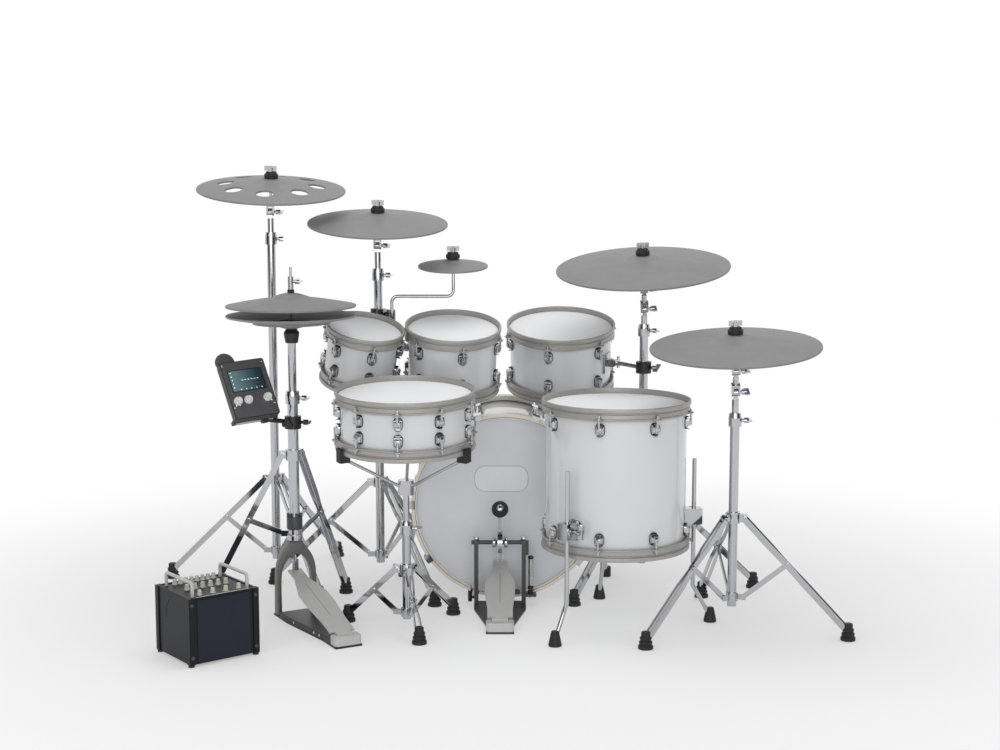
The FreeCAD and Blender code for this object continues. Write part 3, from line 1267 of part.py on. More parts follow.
def hihat_yoke():
    """Cast arch over the footboard's toe, from the base plate up to the tube."""
    out = HAT_YOKE_WIDE / 2
    inner = out - HAT_YOKE_THICK
    neck = HAT_NECK_WIDE / 2
    shoulder = HAT_YOKE_TOP - HAT_YOKE_ARCH
    bulge = math.sqrt(0.5)
    front = -HAT_YOKE_DEEP / 2

    def spot(x, z):
        return V(x, front, z)

    bend_x = neck + (out - neck) * bulge
    bend_z = shoulder + HAT_YOKE_ARCH * bulge
    crown_low = HAT_YOKE_TOP - HAT_CROWN
    edges = [Part.makeLine(spot(out, PLATE_THICK), spot(out, shoulder)),
             Part.Arc(spot(out, shoulder), spot(bend_x, bend_z), spot(neck, HAT_YOKE_TOP)).toShape(),
             Part.makeLine(spot(neck, HAT_YOKE_TOP), spot(-neck, HAT_YOKE_TOP)),
             Part.Arc(spot(-neck, HAT_YOKE_TOP), spot(-bend_x, bend_z), spot(-out, shoulder)).toShape(),
             Part.makeLine(spot(-out, shoulder), spot(-out, PLATE_THICK)),
             Part.makeLine(spot(-out, PLATE_THICK), spot(-inner, PLATE_THICK)),
             Part.makeLine(spot(-inner, PLATE_THICK), spot(-inner, shoulder)),
             Part.Arc(spot(-inner, shoulder), spot(0, crown_low), spot(inner, shoulder)).toShape(),
             Part.makeLine(spot(inner, shoulder), spot(inner, PLATE_THICK)),
             Part.makeLine(spot(inner, PLATE_THICK), spot(out, PLATE_THICK))]
    return Part.Face(Part.Wire(edges)).extrude(Y_AXIS * HAT_YOKE_DEEP)


def hihat_footboard(centre, pedal_turn):
    run = HAT_TOE_Y - HAT_HINGE_Y
    rise = HAT_TOE_Z - HEEL_HINGE_Z
    pitch = math.degrees(math.atan2(rise, run))
    board = placed(footboard(math.hypot(run, rise), TOE_WIDE), V(0, HAT_HINGE_Y, HEEL_HINGE_Z),
                   FreeCAD.Rotation(X_AXIS, pitch))
    add("hihat_footboard", placed(board, centre, pedal_turn))
    return pitch


def hihat_cymbals(centre):
    """Upper cymbal on the rod, and the lower one upside down on the cup with a ring under it."""
    disc = cymbal_disc(HAT_DIA, HAT_BELL_DIA, HAT_BELL_HIGH)
    add("hihat_top", placed(disc, centre + UP * HAT_TOP_Z))
    inner = HAT_RING_IN / 2
    outer = HAT_RING_DIA / 2
    ring = lathe([(inner, HAT_RING_LOW + HAT_RING_SLOPE), (outer, HAT_RING_LOW), (outer, HAT_RING_HIGH),
                  (inner, HAT_RING_HIGH)])
    add("hihat_bottom", placed(disc.fuse(ring), centre + UP * HAT_LOW_Z, FreeCAD.Rotation(X_AXIS, 180)))


def hihat_rod(centre, pitch):
    """Pull rod with its strap to the footboard and the clutch that grips the upper cymbal."""
    slope = math.radians(pitch)
    board_top = (BOARD_LIFT + BOARD_THICK) / math.cos(slope) - HAT_HINGE_Y * math.tan(slope)
    strap_low = HEEL_HINGE_Z + board_top + STRAP_DEEP * math.tan(slope) + RUN
    bell_under = HAT_TOP_Z + cymbal_rise(HAT_DIA) + HAT_BELL_HIGH
    bell_top = bell_under + CYMBAL_THICK
    spine = rod(HAT_ROD_DIA, UP * HAT_ROD_LOW, UP * HAT_ROD_TOP)
    strap_high = HAT_ROD_LOW + STRAP_LAP - strap_low
    strap = slab(V(STRAP_WIDE, STRAP_DEEP * 2, strap_high), UP * (strap_low + strap_high / 2))
    strap = placed(strap, V(), FreeCAD.Rotation(UP, HAT_TURN))
    low_nut = cylinder(HAT_CLUTCH_DIA, UP * (bell_under - RUN), UP * -HAT_NUT_HIGH)
    clutch = cylinder(HAT_CLUTCH_DIA, UP * (bell_top + SEAT), UP * HAT_CLUTCH_HIGH)
    screw_at = V(HAT_CLUTCH_DIA / 2 - SCREW_BITE, 0, bell_top + HAT_SCREW_UP)
    screw = wing_bolt(screw_at, X_AXIS, HAT_SCREW_REACH)
    add("hihat_rod", placed(spine.fuse([strap, low_nut, clutch, screw]), centre))


# Sound module

def module_rotation():
    pitch = FreeCAD.Rotation(UP, MODULE_YAW).multiply(FreeCAD.Rotation(X_AXIS, MODULE_PITCH))
    return pitch.multiply(FreeCAD.Rotation(UP, MODULE_ROLL))


def module_pivot():
    """Middle of the cross rod under the case's lower edge, in the case's own frame."""
    return V(0, -MODULE_HIGH / 2 + MODULE_HINGE_UP, -MODULE_THICK - KNUCKLE_R - MODULE_HINGE_GAP)


def sound_module():
    """Case with a recessed screen, three knobs, a fin, and its tilting arm on the hi-hat tube."""
    base = V(MODULE_X, MODULE_Y, MODULE_Z)
    rotation = module_rotation()
    size = V(MODULE_WIDE, MODULE_HIGH, MODULE_THICK)
    case = slab(size, V(0, 0, -MODULE_THICK / 2))
    uprights = [edge for edge in case.Edges if abs(edge.tangentAt(edge.FirstParameter).z) > 0.9]
    case = case.makeFillet(MODULE_CORNER, uprights)
    case = case.cut(slab(V(SCREEN_WIDE, SCREEN_HIGH, 2 * SCREEN_DEEP), V(0, SCREEN_UP, 0)))
    pivot = module_pivot()
    across = cylinder(MODULE_ARM_DIA, pivot - X_AXIS * (MODULE_WIDE / 2), X_AXIS * MODULE_WIDE)
    ear_top = MODULE_EAR_BITE - MODULE_THICK
    ear_size = V(MODULE_ARM_DIA, MODULE_ARM_DIA, ear_top - pivot.z)
    ears = []
    for side in (-1, 1):
        x = side * (MODULE_WIDE / 2 - MODULE_ARM_DIA / 2)
        ears.append(slab(ear_size, V(x, pivot.y, (pivot.z + ear_top) / 2)))
    add("module_case", placed(case.fuse([fin_plate(), across] + ears), base, rotation))
    knob = lathe([(0, SEAT), (MODULE_KNOB_DIA / 2, SEAT), (MODULE_KNOB_TOP_DIA / 2, MODULE_KNOB_HIGH),
                  (0, MODULE_KNOB_HIGH)])
    for index, place in enumerate(MODULE_KNOB_PLACES):
        spot = V(place, -MODULE_KNOB_DOWN, 0)
        add("module_knob_%d" % (index + 1), placed(placed(knob, spot), base, rotation))
    module_clamp(base + rotation.multVec(pivot), rotation.multVec(X_AXIS))


def fin_plate():
    """Half-round fin behind the case's top edge."""
    left = FIN_IN - MODULE_WIDE / 2
    right = left + FIN_WIDE
    low = MODULE_HIGH / 2 - FIN_LAP
    level = -MODULE_THICK / 2
    crown = V((left + right) / 2, MODULE_HIGH / 2 + FIN_HIGH, level)
    edges = [Part.makeLine(V(left, low, level), V(right, low, level)),
             Part.Arc(V(right, low, level), crown, V(left, low, level)).toShape()]
    return Part.Face(Part.Wire(edges)).extrude(UP * -FIN_THICK)


def module_clamp(pivot, axis):
    """Black clamp round the hi-hat tube with an arm that grips the module's cross rod."""
    centre = V(HAT_X, HAT_Y, MODULE_CLAMP_Z)
    grip_at = pivot + axis * MODULE_GRIP_OUT
    grip = cylinder(2 * KNUCKLE_R, grip_at - axis * (MODULE_GRIP_WIDE / 2), axis * MODULE_GRIP_WIDE)
    arm = rod(HOLDER_ROD_DIA, centre, grip_at)
    knob = wing_bolt(centre + X_AXIS * (HOLDER_DIA / 2 - SCREW_BITE), X_AXIS, SCREW_REACH)
    bores = [cylinder(HAT_TUBE_DIA + 2 * SEAT, centre - UP * HOLDER_HIGH, UP * (2 * HOLDER_HIGH)),
             cylinder(MODULE_ARM_DIA + 2 * RUN, grip_at - axis * MODULE_WIDE, axis * (2 * MODULE_WIDE))]
    add("module_clamp", placed(holder_ring(HAT_TUBE_DIA), centre).fuse([grip, arm, knob]).cut(bores))


# Amplifier box

def amplifier_box():
    """Case with corner posts, recessed control deck, rows of knobs and two bar handles."""
    base = V(BOX_X, BOX_Y, 0)
    rotation = FreeCAD.Rotation(UP, BOX_TURN)
    top = BOX_FOOT + BOX_HIGH
    middle = V(BOX_WIDE / 2, BOX_DEEP / 2, BOX_FOOT + BOX_HIGH / 2)
    walls = slab(V(BOX_WIDE - 2 * BOX_INSET, BOX_DEEP - 2 * BOX_INSET, BOX_HIGH), middle)
    well_size = V(BOX_WIDE - 2 * BOX_WELL, BOX_DEEP - 2 * BOX_WELL, 2 * BOX_RIM)
    well = slab(well_size, V(middle.x, middle.y, top))
    posts = []
    feet = []
    for x in (BOX_POST / 2, BOX_WIDE - BOX_POST / 2):
        for y in (BOX_POST / 2, BOX_DEEP - BOX_POST / 2):
            posts.append(slab(V(BOX_POST, BOX_POST, BOX_HIGH), V(x, y, middle.z)))
            feet.append(cylinder(BOX_POST, V(x, y, 0), UP * BOX_FOOT))
    pieces = [walls.fuse(posts).cut(well)] + feet + box_knobs(top - BOX_RIM)
    for x in (BOX_HANDLE_INSET, BOX_WIDE - BOX_HANDLE_INSET):
        pieces += box_handle(x, top)
    for piece in pieces:
        add("amplifier_box", placed(piece, base, rotation))


def box_handle(x, top):
    """Round bar bent down at both ends, along one side of the deck."""
    deck = top - BOX_RIM
    bar_z = top + BOX_HANDLE_HIGH
    front = V(x, BOX_HANDLE_INSET, deck)
    back = V(x, BOX_DEEP - BOX_HANDLE_INSET, deck)
    front_top = V(front.x, front.y, bar_z)
    back_top = V(back.x, back.y, bar_z)
    dia = BOX_HANDLE_DIA
    near_bend, near_low, bar_start = elbow(dia, front, front_top, back_top, BOX_HANDLE_BEND)
    far_bend, bar_end, far_low = elbow(dia, front_top, back_top, back, BOX_HANDLE_BEND)
    posts = [rod(dia, front, near_low), rod(dia, far_low, back)]
    return [near_bend, rod(dia, bar_start, bar_end), far_bend] + posts


def box_knobs(deck):
    """Rows of tapered knobs, fewest at the front."""
    half = BOX_KNOB_DIA / 2
    knob = lathe([(0, 0), (half, 0), (BOX_KNOB_TOP_DIA / 2, BOX_KNOB_HIGH), (0, BOX_KNOB_HIGH)])
    first_x = BOX_HANDLE_INSET + BOX_KNOB_SIDE
    step_y = (BOX_DEEP - 2 * BOX_KNOB_FRONT) / (len(BOX_KNOB_ROWS) - 1)
    knobs = []
    for row, count in enumerate(BOX_KNOB_ROWS):
        step_x = (BOX_WIDE - 2 * first_x) / (count - 1)
        for column in range(count):
            knobs.append(placed(knob, V(first_x + column * step_x, BOX_KNOB_FRONT + row * step_y, deck)))
    return knobs


def write_parts():
    os.makedirs("parts", exist_ok=True)
    for name, solids in nodes.items():
        Part.Compound(solids).exportStep("parts/%s.step" % name)


kick_drum()
kick_spur("kick_spur_left", -1)
kick_spur("kick_spur_right", 1)
snare_drum()
floor_tom()
hung_toms()
cymbal_stands()
splash()
kick_pedal()
hihat()
sound_module()
amplifier_box()
write_parts()
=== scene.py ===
import json
import math

import bpy
import numpy as np
from mathutils import Matrix, Vector

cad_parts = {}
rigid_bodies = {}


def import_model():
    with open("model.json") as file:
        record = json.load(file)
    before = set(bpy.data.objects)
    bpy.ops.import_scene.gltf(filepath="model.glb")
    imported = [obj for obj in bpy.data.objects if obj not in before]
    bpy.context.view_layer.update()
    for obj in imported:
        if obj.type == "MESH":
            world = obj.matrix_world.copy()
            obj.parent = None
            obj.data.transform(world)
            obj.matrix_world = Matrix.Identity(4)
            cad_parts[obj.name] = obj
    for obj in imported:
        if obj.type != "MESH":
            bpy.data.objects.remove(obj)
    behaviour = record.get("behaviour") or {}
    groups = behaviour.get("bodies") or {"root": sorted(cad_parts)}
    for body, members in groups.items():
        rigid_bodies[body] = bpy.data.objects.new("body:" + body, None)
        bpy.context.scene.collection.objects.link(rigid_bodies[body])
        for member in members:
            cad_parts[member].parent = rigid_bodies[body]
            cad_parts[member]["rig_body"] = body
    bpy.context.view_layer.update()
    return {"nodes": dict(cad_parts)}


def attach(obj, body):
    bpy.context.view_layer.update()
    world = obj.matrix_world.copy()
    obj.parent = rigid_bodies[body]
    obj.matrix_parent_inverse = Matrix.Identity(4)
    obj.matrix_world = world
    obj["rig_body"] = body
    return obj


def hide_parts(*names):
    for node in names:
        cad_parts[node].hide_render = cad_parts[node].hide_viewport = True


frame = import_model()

# An electronic drum kit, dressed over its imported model. Metres, +Z up, the player's side is -Y.
# Profiles and places of the smaller pieces are given in millimetres.

MM = 0.001
MERGE = 0.01 * MM
SAME = 1e-7
ROUND = 128
SMALL_ROUND = 32
X_AXIS = Vector((1, 0, 0))
Y_AXIS = Vector((0, 1, 0))
UP = Vector((0, 0, 1))


# Modelling by hand: small steps that every piece below is made of

def deselect():
    if bpy.context.object and bpy.context.object.mode != "OBJECT":
        bpy.ops.object.mode_set(mode="OBJECT")
    bpy.ops.object.select_all(action="DESELECT")


def pick(*pieces):
    """Selects these pieces alone, with the first one active."""
    deselect()
    for piece in pieces:
        piece.select_set(True)
    bpy.context.view_layer.objects.active = pieces[0]


def named(name):
    piece = bpy.context.object
    piece.name = name
    piece.data.name = name
    return piece


def in_edit(piece):
    pick(piece)
    bpy.ops.object.mode_set(mode="EDIT")
    bpy.ops.mesh.select_all(action="SELECT")


def out_of_edit():
    bpy.ops.object.mode_set(mode="OBJECT")


def opened(piece, kind, test):
    """Opens a piece for editing with only the points, edges or faces selected that pass a test."""
    in_edit(piece)
    bpy.ops.mesh.select_mode(type=kind)
    bpy.ops.mesh.select_all(action="DESELECT")
    out_of_edit()
    mesh = piece.data
    for part in {"VERT": mesh.vertices, "EDGE": mesh.edges, "FACE": mesh.polygons}[kind]:
        part.select = test(part)
    bpy.ops.object.mode_set(mode="EDIT")


def closed_up():
    """Leaves edit mode, with points as the kind to select again."""
    bpy.ops.mesh.select_mode(type="VERT")
    out_of_edit()


def smooth(piece, angle=35.0):
    pick(piece)
    bpy.ops.object.shade_smooth_by_angle(angle=math.radians(angle))
    return piece


def tidy(piece):
    """Merges doubled points and turns every face outwards."""
    in_edit(piece)
    bpy.ops.mesh.remove_doubles(threshold=MERGE)
    bpy.ops.mesh.normals_make_consistent(inside=False)
    out_of_edit()
    return piece


def with_modifier(piece, kind, **settings):
    """Adds one modifier, sets it and applies it."""
    pick(piece)
    modifier = piece.modifiers.new("step", kind)
    for key, value in settings.items():
        setattr(modifier, key, value)
    bpy.ops.object.modifier_apply(modifier=modifier.name)
    return piece


def softened(piece, width, segments=2, angle=35.0):
    """Rounds the sharp edges as a mould or a tumbler would."""
    return with_modifier(piece, "BEVEL", width=width, segments=segments, limit_method="ANGLE",
                         angle_limit=math.radians(angle), use_clamp_overlap=True)


def crisp(piece, width, angle=38.0):
    """Eases the edges and keeps the flat faces flat to the eye."""
    smooth(softened(piece, width), angle)
    return with_modifier(piece, "WEIGHTED_NORMAL", keep_sharp=True)


def turned(name, profile, segments=ROUND, closed=False):
    """Turns (radius, height) points into a round piece by drawing a ring out step by step."""
    deselect()
    radius, height = profile[0]
    bpy.ops.mesh.primitive_circle_add(vertices=segments, radius=radius)
    piece = named(name)
    in_edit(piece)
    bpy.ops.transform.translate(value=(0, 0, height))
    for next_radius, next_height in list(profile[1:]) + (list(profile[:1]) if closed else []):
        bpy.ops.mesh.extrude_edges_move(TRANSFORM_OT_translate={"value": (0, 0, next_height - height)})
        if next_radius == 0:
            bpy.ops.mesh.merge(type="CENTER")
        elif next_radius != radius:
            share = next_radius / radius
            bpy.ops.transform.resize(value=(share, share, 1), center_override=(0, 0, next_height))
        radius, height = next_radius, next_height
    out_of_edit()
    return smooth(tidy(piece))


def rounded(corners, reach, steps=4):
    """Profile with each corner cut by a short arc; the first and last points stay."""
    points = [corners[0]]
    for before, corner, after in zip(corners, corners[1:], corners[2:]):
        a, b, c = Vector(before), Vector(corner), Vector(after)
        cut = min(reach, (a - b).length * 0.45, (c - b).length * 0.45)
        start = b + (a - b).normalized() * cut
        end = b + (c - b).normalized() * cut
        for step in range(steps + 1):
            t = step / steps
            spot = start * (1 - t) ** 2 + b * (2 * t * (1 - t)) + end * t ** 2
            points.append((spot.x, spot.y))
    return points + [corners[-1]]


def in_metres(points):
    return [(r * MM, z * MM) for r, z in points]


def lathed(name, corners, ease, segments=ROUND, tipped=False, steps=4):
    """Turned piece from corners in millimetres, each eased by an arc; a tipped one ends on its axis."""
    profile = rounded(in_metres(corners), ease * MM, steps)
    if tipped:
        profile.append((0, profile[-1][1]))
    return turned(name, profile, segments)


def lathed_ring(name, corners, ease, segments=ROUND):
    """Turned ring from corners in millimetres that end where they start, within a straight side."""
    return turned(name, rounded(in_metres(corners), ease * MM)[:-1], segments, closed=True)


def block(name, size, centre=(0, 0, 0)):
    """Box of a given size, to be shaped further."""
    deselect()
    bpy.ops.mesh.primitive_cube_add(size=1)
    piece = named(name)
    in_edit(piece)
    bpy.ops.transform.resize(value=size, center_override=(0, 0, 0))
    bpy.ops.transform.translate(value=centre)
    out_of_edit()
    return piece


def swept(name, stations):
    """Bar drawn upwards through level sections: middle x, height, width and depth, in millimetres."""
    deselect()
    bpy.ops.mesh.primitive_plane_add(size=1)
    piece = named(name)
    in_edit(piece)
    x, z, wide, deep = (value * MM for value in stations[0])
    bpy.ops.transform.resize(value=(wide, deep, 1), center_override=(0, 0, 0))
    bpy.ops.transform.translate(value=(x, 0, z))
    for station in stations[1:]:
        next_x, next_z, next_wide, next_deep = (value * MM for value in station)
        bpy.ops.mesh.extrude_region_move(TRANSFORM_OT_translate={"value": (next_x - x, 0, next_z - z)})
        bpy.ops.transform.resize(value=(next_wide / wide, next_deep / deep, 1),
                                 center_override=(next_x, 0, next_z))
        x, z, wide, deep = next_x, next_z, next_wide, next_deep
    out_of_edit()
    return tidy(piece)


def joined(name, pieces):
    pick(*pieces)
    if len(pieces) > 1:
        bpy.ops.object.join()
    return named(name)


def settle(piece, matrix):
    """Puts a piece modelled at the origin in its place, in its mesh."""
    piece.data.transform(matrix)
    piece.data.update()
    return piece


def at(x, y, z=0.0):
    """Shift given in millimetres."""
    return Matrix.Translation((x * MM, y * MM, z * MM))


def turn(degrees, axis):
    return Matrix.Rotation(math.radians(degrees), 4, axis)


def copy_of(piece, matrix):
    """A second piece with a mesh of its own."""
    twin = bpy.data.objects.new(piece.name, piece.data.copy())
    bpy.context.scene.collection.objects.link(twin)
    return settle(twin, matrix)


def discard(*pieces):
    for piece in pieces:
        bpy.data.objects.remove(piece)


def spread(piece, *matrices):
    """Copies of a piece in several places; the piece itself is used up."""
    copies = [copy_of(piece, matrix) for matrix in matrices]
    discard(piece)
    return copies


def coated(piece, *finishes):
    piece.data.materials.clear()
    for finish in finishes:
        piece.data.materials.append(finish)
    return piece


def painted_where(piece, index, test):
    """Gives the faces whose middle and normal pass a test another of the piece's finishes."""
    for face in piece.data.polygons:
        if test(face.center, face.normal):
            face.material_index = index
    return piece


def without(piece, test):
    """Deletes the faces whose middle and normal pass a test."""
    opened(piece, "FACE", lambda face: test(face.center, face.normal))
    bpy.ops.mesh.delete(type="FACE")
    closed_up()
    return piece


def round_corners(piece, radius):
    """Rounds the four upright edges of a flat block."""
    def upright(edge):
        a, b = (piece.data.vertices[k].co for k in edge.vertices)
        return abs(a.x - b.x) < SAME and abs(a.y - b.y) < SAME

    opened(piece, "EDGE", upright)
    bpy.ops.mesh.bevel(offset=radius, segments=8, affect="EDGES")
    closed_up()


def rounded_end(piece, radius, end):
    """Rounds the edges of the face at a block's lower (-1) or upper (1) end."""
    limit = end * max(end * vertex.co.z for vertex in piece.data.vertices)
    opened(piece, "VERT", lambda vertex: abs(vertex.co.z - limit) < SAME)
    bpy.ops.mesh.select_mode(type="EDGE")
    bpy.ops.mesh.bevel(offset=radius, segments=7, affect="EDGES")
    closed_up()


def domed(piece, way, high, steps=6):
    """Swells the flat face that looks a given way into a dome by a row of insets."""
    opened(piece, "FACE", lambda face: face.normal.dot(way) > 0.99)
    turns = [math.radians(80 * step / steps) for step in range(steps + 1)]
    for before, after in zip(turns, turns[1:]):
        bpy.ops.mesh.inset(thickness=high * (math.cos(before) - math.cos(after)),
                           depth=high * (math.sin(after) - math.sin(before)))
    closed_up()


def plate(name, wide, high, deep, corner):
    """Flat plate in millimetres, with rounded corners and eased edges, its back on the ground plane."""
    piece = block(name, (wide * MM, high * MM, deep * MM), (0, 0, deep * MM / 2))
    round_corners(piece, corner * MM)
    return crisp(piece, min(deep * 0.3, 0.6) * MM)


def button(name, radius, high, edge=0.4):
    """Round button that stands on its base, with an eased rim."""
    return lathed(name, [(radius, 0), (radius, high), (radius * 0.3, high)], edge, SMALL_ROUND, tipped=True)


def dome(name, radius, high):
    """Round bolt head."""
    angles = [math.radians(degrees) for degrees in range(0, 90, 15)]
    arc = [(radius * math.cos(angle), high * math.sin(angle)) for angle in angles]
    return turned(name, in_metres(arc + [(0, high)]), SMALL_ROUND)


def own_map(piece, name, rule):
    """One texture map of the piece's own, from the place of each point."""
    while piece.data.uv_layers:
        piece.data.uv_layers.remove(piece.data.uv_layers[0])
    layer = piece.data.uv_layers.new(name=name)
    for loop in piece.data.loops:
        layer.data[loop.index].uv = rule(piece.data.vertices[loop.vertex_index].co)


def flat_map(piece):
    """Map of a piece modelled about Z: its own x and y in metres."""
    own_map(piece, "cloth", lambda spot: (spot.x, spot.y))


def radial_map(piece):
    """Map of a turned piece: distance from its axis, and the turn round it times a tenth of a metre."""
    own_map(piece, "turning", lambda spot: (math.hypot(spot.x, spot.y), math.atan2(spot.y, spot.x) * 0.1))


def dressed(piece, body, *nodes):
    """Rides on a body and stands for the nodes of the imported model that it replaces."""
    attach(piece, body)
    if nodes:
        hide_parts(*nodes)
    return piece


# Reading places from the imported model

def points_of(piece):
    flat = np.zeros(len(piece.data.vertices) * 3)
    piece.data.vertices.foreach_get("co", flat)
    return np.unique(np.round(flat.reshape(-1, 3), 6), axis=0)


def node_points(node):
    return points_of(frame["nodes"][node])


def body_of(node):
    return frame["nodes"][node]["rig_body"]


def frame_on(middle, axis):
    """Matrix whose Z lies along an axis and whose X is as level as it can be."""
    side = Y_AXIS.cross(axis)
    if side.length < 0.2:
        side = X_AXIS.copy()
    side = (side - axis * side.dot(axis)).normalized()
    matrix = Matrix((side, axis.cross(side), axis)).transposed().to_4x4()
    matrix.translation = middle
    return matrix


def round_frame(points, towards):
    """Frame of a round piece: its middle, its axis turned towards a side, and a level first axis."""
    middle = points.mean(axis=0)
    values, vectors = np.linalg.eigh(np.cov((points - middle).T))
    odd = int(np.argmax(np.abs(values - np.median(values))))
    axis = Vector(vectors[:, odd]).normalized()
    if axis.dot(Vector(towards)) < 0:
        axis.negate()
    return frame_on(Vector(middle), axis)


def local_points(points, matrix):
    back = np.array(matrix.inverted())
    return points @ back[:3, :3].T + back[:3, 3]


def box_in(points, matrix):
    """Lowest and highest corner of points in a frame."""
    local = local_points(points, matrix)
    return local.min(axis=0), local.max(axis=0)


def radius_in(points, matrix):
    """Largest distance of points from a frame's Z axis."""
    local = local_points(points, matrix)
    return float(np.hypot(local[:, 0], local[:, 1]).max())


def loose_copies(node):
    """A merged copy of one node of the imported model, split into its separate solids."""
    source = frame["nodes"][node]
    twin = bpy.data.objects.new(node + "_copy", source.data.copy())
    bpy.context.scene.collection.objects.link(twin)
    in_edit(twin)
    bpy.ops.mesh.remove_doubles(threshold=0.001 * MM)
    bpy.ops.mesh.dissolve_limited(angle_limit=math.radians(0.5))
    bpy.ops.mesh.separate(type="LOOSE")
    out_of_edit()
    return list(bpy.context.selected_objects)


# Finishes: steps that every material is made of

def hex_colour(code):
    """Linear colour of an sRGB hex value."""
    parts = [int(code[k:k + 2], 16) / 255 for k in (0, 2, 4)]
    return tuple(c / 12.92 if c <= 0.04045 else ((c + 0.055) / 1.055) ** 2.4 for c in parts) + (1.0,)


def per_mm(size):
    """Texture scale at which one feature is this many millimetres wide."""
    return 1 / (size * MM)


def bands_per_mm(size):
    """Wave texture scale at which one band is this many millimetres wide."""
    return per_mm(size) * 2 * math.pi / 20


def add_node(tree, kind, settings=(), inputs=()):
    """One shader node with its settings and its links or values."""
    made = tree.nodes.new(kind)
    for key, value in dict(settings).items():
        setattr(made, key, value)
    for key, value in dict(inputs).items():
        if isinstance(value, bpy.types.NodeSocket):
            tree.links.new(value, made.inputs[key])
        else:
            made.inputs[key].default_value = value
    return made


def new_finish(name, **sockets):
    """A material with its own shader; values that are the same all over sit on the shader."""
    material = bpy.data.materials.new(name)
    material.use_nodes = True
    tree = material.node_tree
    shader = tree.nodes["Principled BSDF"]
    for key, value in sockets.items():
        shader.inputs[key.replace("_", " ").title().replace("Ior", "IOR")].default_value = value
    return material, tree, shader, add_node(tree, "ShaderNodeTexCoord")


def noise_on(tree, coordinates, size, detail):
    inputs = {"Vector": coordinates, "Scale": per_mm(size), "Detail": detail}
    return add_node(tree, "ShaderNodeTexNoise", inputs=inputs).outputs["Fac"]


def bands_on(tree, coordinates, size, direction, distortion=0.0):
    inputs = {"Vector": coordinates, "Scale": bands_per_mm(size), "Distortion": distortion}
    return add_node(tree, "ShaderNodeTexWave", {"bands_direction": direction}, inputs).outputs["Fac"]


def ramp(tree, value, start, end, low=0.0, high=1.0):
    """Smooth step of a value, from low at its start to high at its end."""
    inputs = {"Value": value, "From Min": start, "From Max": end, "To Min": low, "To Max": high}
    return add_node(tree, "ShaderNodeMapRange", {"interpolation_type": "SMOOTHSTEP"}, inputs).outputs["Result"]


def tinted(tree, shader, share, low, high, *more_sockets):
    """Blends the colour between two sRGB hex values."""
    blend = add_node(tree, "ShaderNodeMix", {"data_type": "RGBA"},
                     {0: share, 6: hex_colour(low), 7: hex_colour(high)})
    for socket in ("Base Color",) + more_sockets:
        tree.links.new(blend.outputs[2], shader.inputs[socket])


def bumped(tree, shader, height, depth, strength):
    """Bump of a depth in millimetres."""
    inputs = {"Height": height, "Distance": depth * MM, "Strength": strength}
    bump = add_node(tree, "ShaderNodeBump", inputs=inputs)
    tree.links.new(bump.outputs["Normal"], shader.inputs["Normal"])


def mottled(name, low, high, size, grain=None, **sockets):
    """Colour that drifts over a size in millimetres, and a surface grain (width, depth) where it has one."""
    material, tree, shader, place = new_finish(name, **sockets)
    tinted(tree, shader, noise_on(tree, place.outputs["Object"], size, 4.0), low, high)
    if grain:
        width, depth = grain
        bumped(tree, shader, noise_on(tree, place.outputs["Object"], width, 3.0), depth, 0.6)
    return material


def bare_metal(name, colour, low, high, size):
    """Metal of one colour, whose roughness drifts over a size in millimetres."""
    material, tree, shader, place = new_finish(name, metallic=1.0, base_color=hex_colour(colour))
    inputs = {"Value": noise_on(tree, place.outputs["Object"], size, 4.0), "To Min": low, "To Max": high}
    drift = add_node(tree, "ShaderNodeMapRange", inputs=inputs)
    tree.links.new(drift.outputs["Result"], shader.inputs["Roughness"])
    return material


def mesh_cloth():
    """Woven polyester mesh, stretched: off-white threads; the weave is coarser than life, to show."""
    material, tree, shader, place = new_finish("woven_mesh", roughness=0.62, sheen_weight=0.15)
    across, along = (bands_on(tree, place.outputs["UV"], 2.4, direction) for direction in ("X", "Y"))
    weave = add_node(tree, "ShaderNodeMath", {"operation": "MAXIMUM"}, {0: across, 1: along}).outputs[0]
    tinted(tree, shader, weave, "E9EAEC", "F3F4F5")
    bumped(tree, shader, weave, 0.15, 0.5)
    return material


def cymbal_rubber():
    """Moulded rubber playing surface: matt mid grey with faint turned rings."""
    material, tree, shader, place = new_finish("grey_moulded_rubber", roughness=0.52, ior=1.5)
    tinted(tree, shader, noise_on(tree, place.outputs["Object"], 45, 5.0), "767676", "858585")
    bumped(tree, shader, bands_on(tree, place.outputs["UV"], 3.2, "X", 0.3), 0.08, 0.35)
    return material


def maple():
    """Lacquered maple ply bent round the shell: cream, with long fine grain along the hoop."""
    material, tree, shader, place = new_finish("lacquered_maple", roughness=0.35, coat_weight=0.4,
                                               coat_roughness=0.12)
    tinted(tree, shader, noise_on(tree, place.outputs["UV"], 2.2, 6.0), "D6CEC2", "E6E0D6")
    return material


def screen_glass():
    """Glass over a lit display: grey-teal at the left, dark blue at the right, under a clear shine."""
    material, tree, shader, place = new_finish("lit_display_glass", roughness=0.12, ior=1.5,
                                               emission_strength=0.3)
    axes = add_node(tree, "ShaderNodeSeparateXYZ", inputs={0: place.outputs["UV"]})
    run = ramp(tree, axes.outputs["X"], -50 * MM, 50 * MM)
    tinted(tree, shader, run, "5B757A", "1C2A36", "Emission Color")
    return material


def plain_plastic(name, low, high):
    """Moulded plastic in a plain colour."""
    return mottled(name, low, high, 5.0, roughness=0.4, ior=1.5)


# Sprayed white lacquer with a fine pearl under a clear coat: soft shimmer and sharp reflections
PEARL = mottled("pearl_white_lacquer", "C8C9CC", "D4D5D7", 1.6, roughness=0.32, ior=1.5,
                coat_weight=0.8, coat_roughness=0.06)
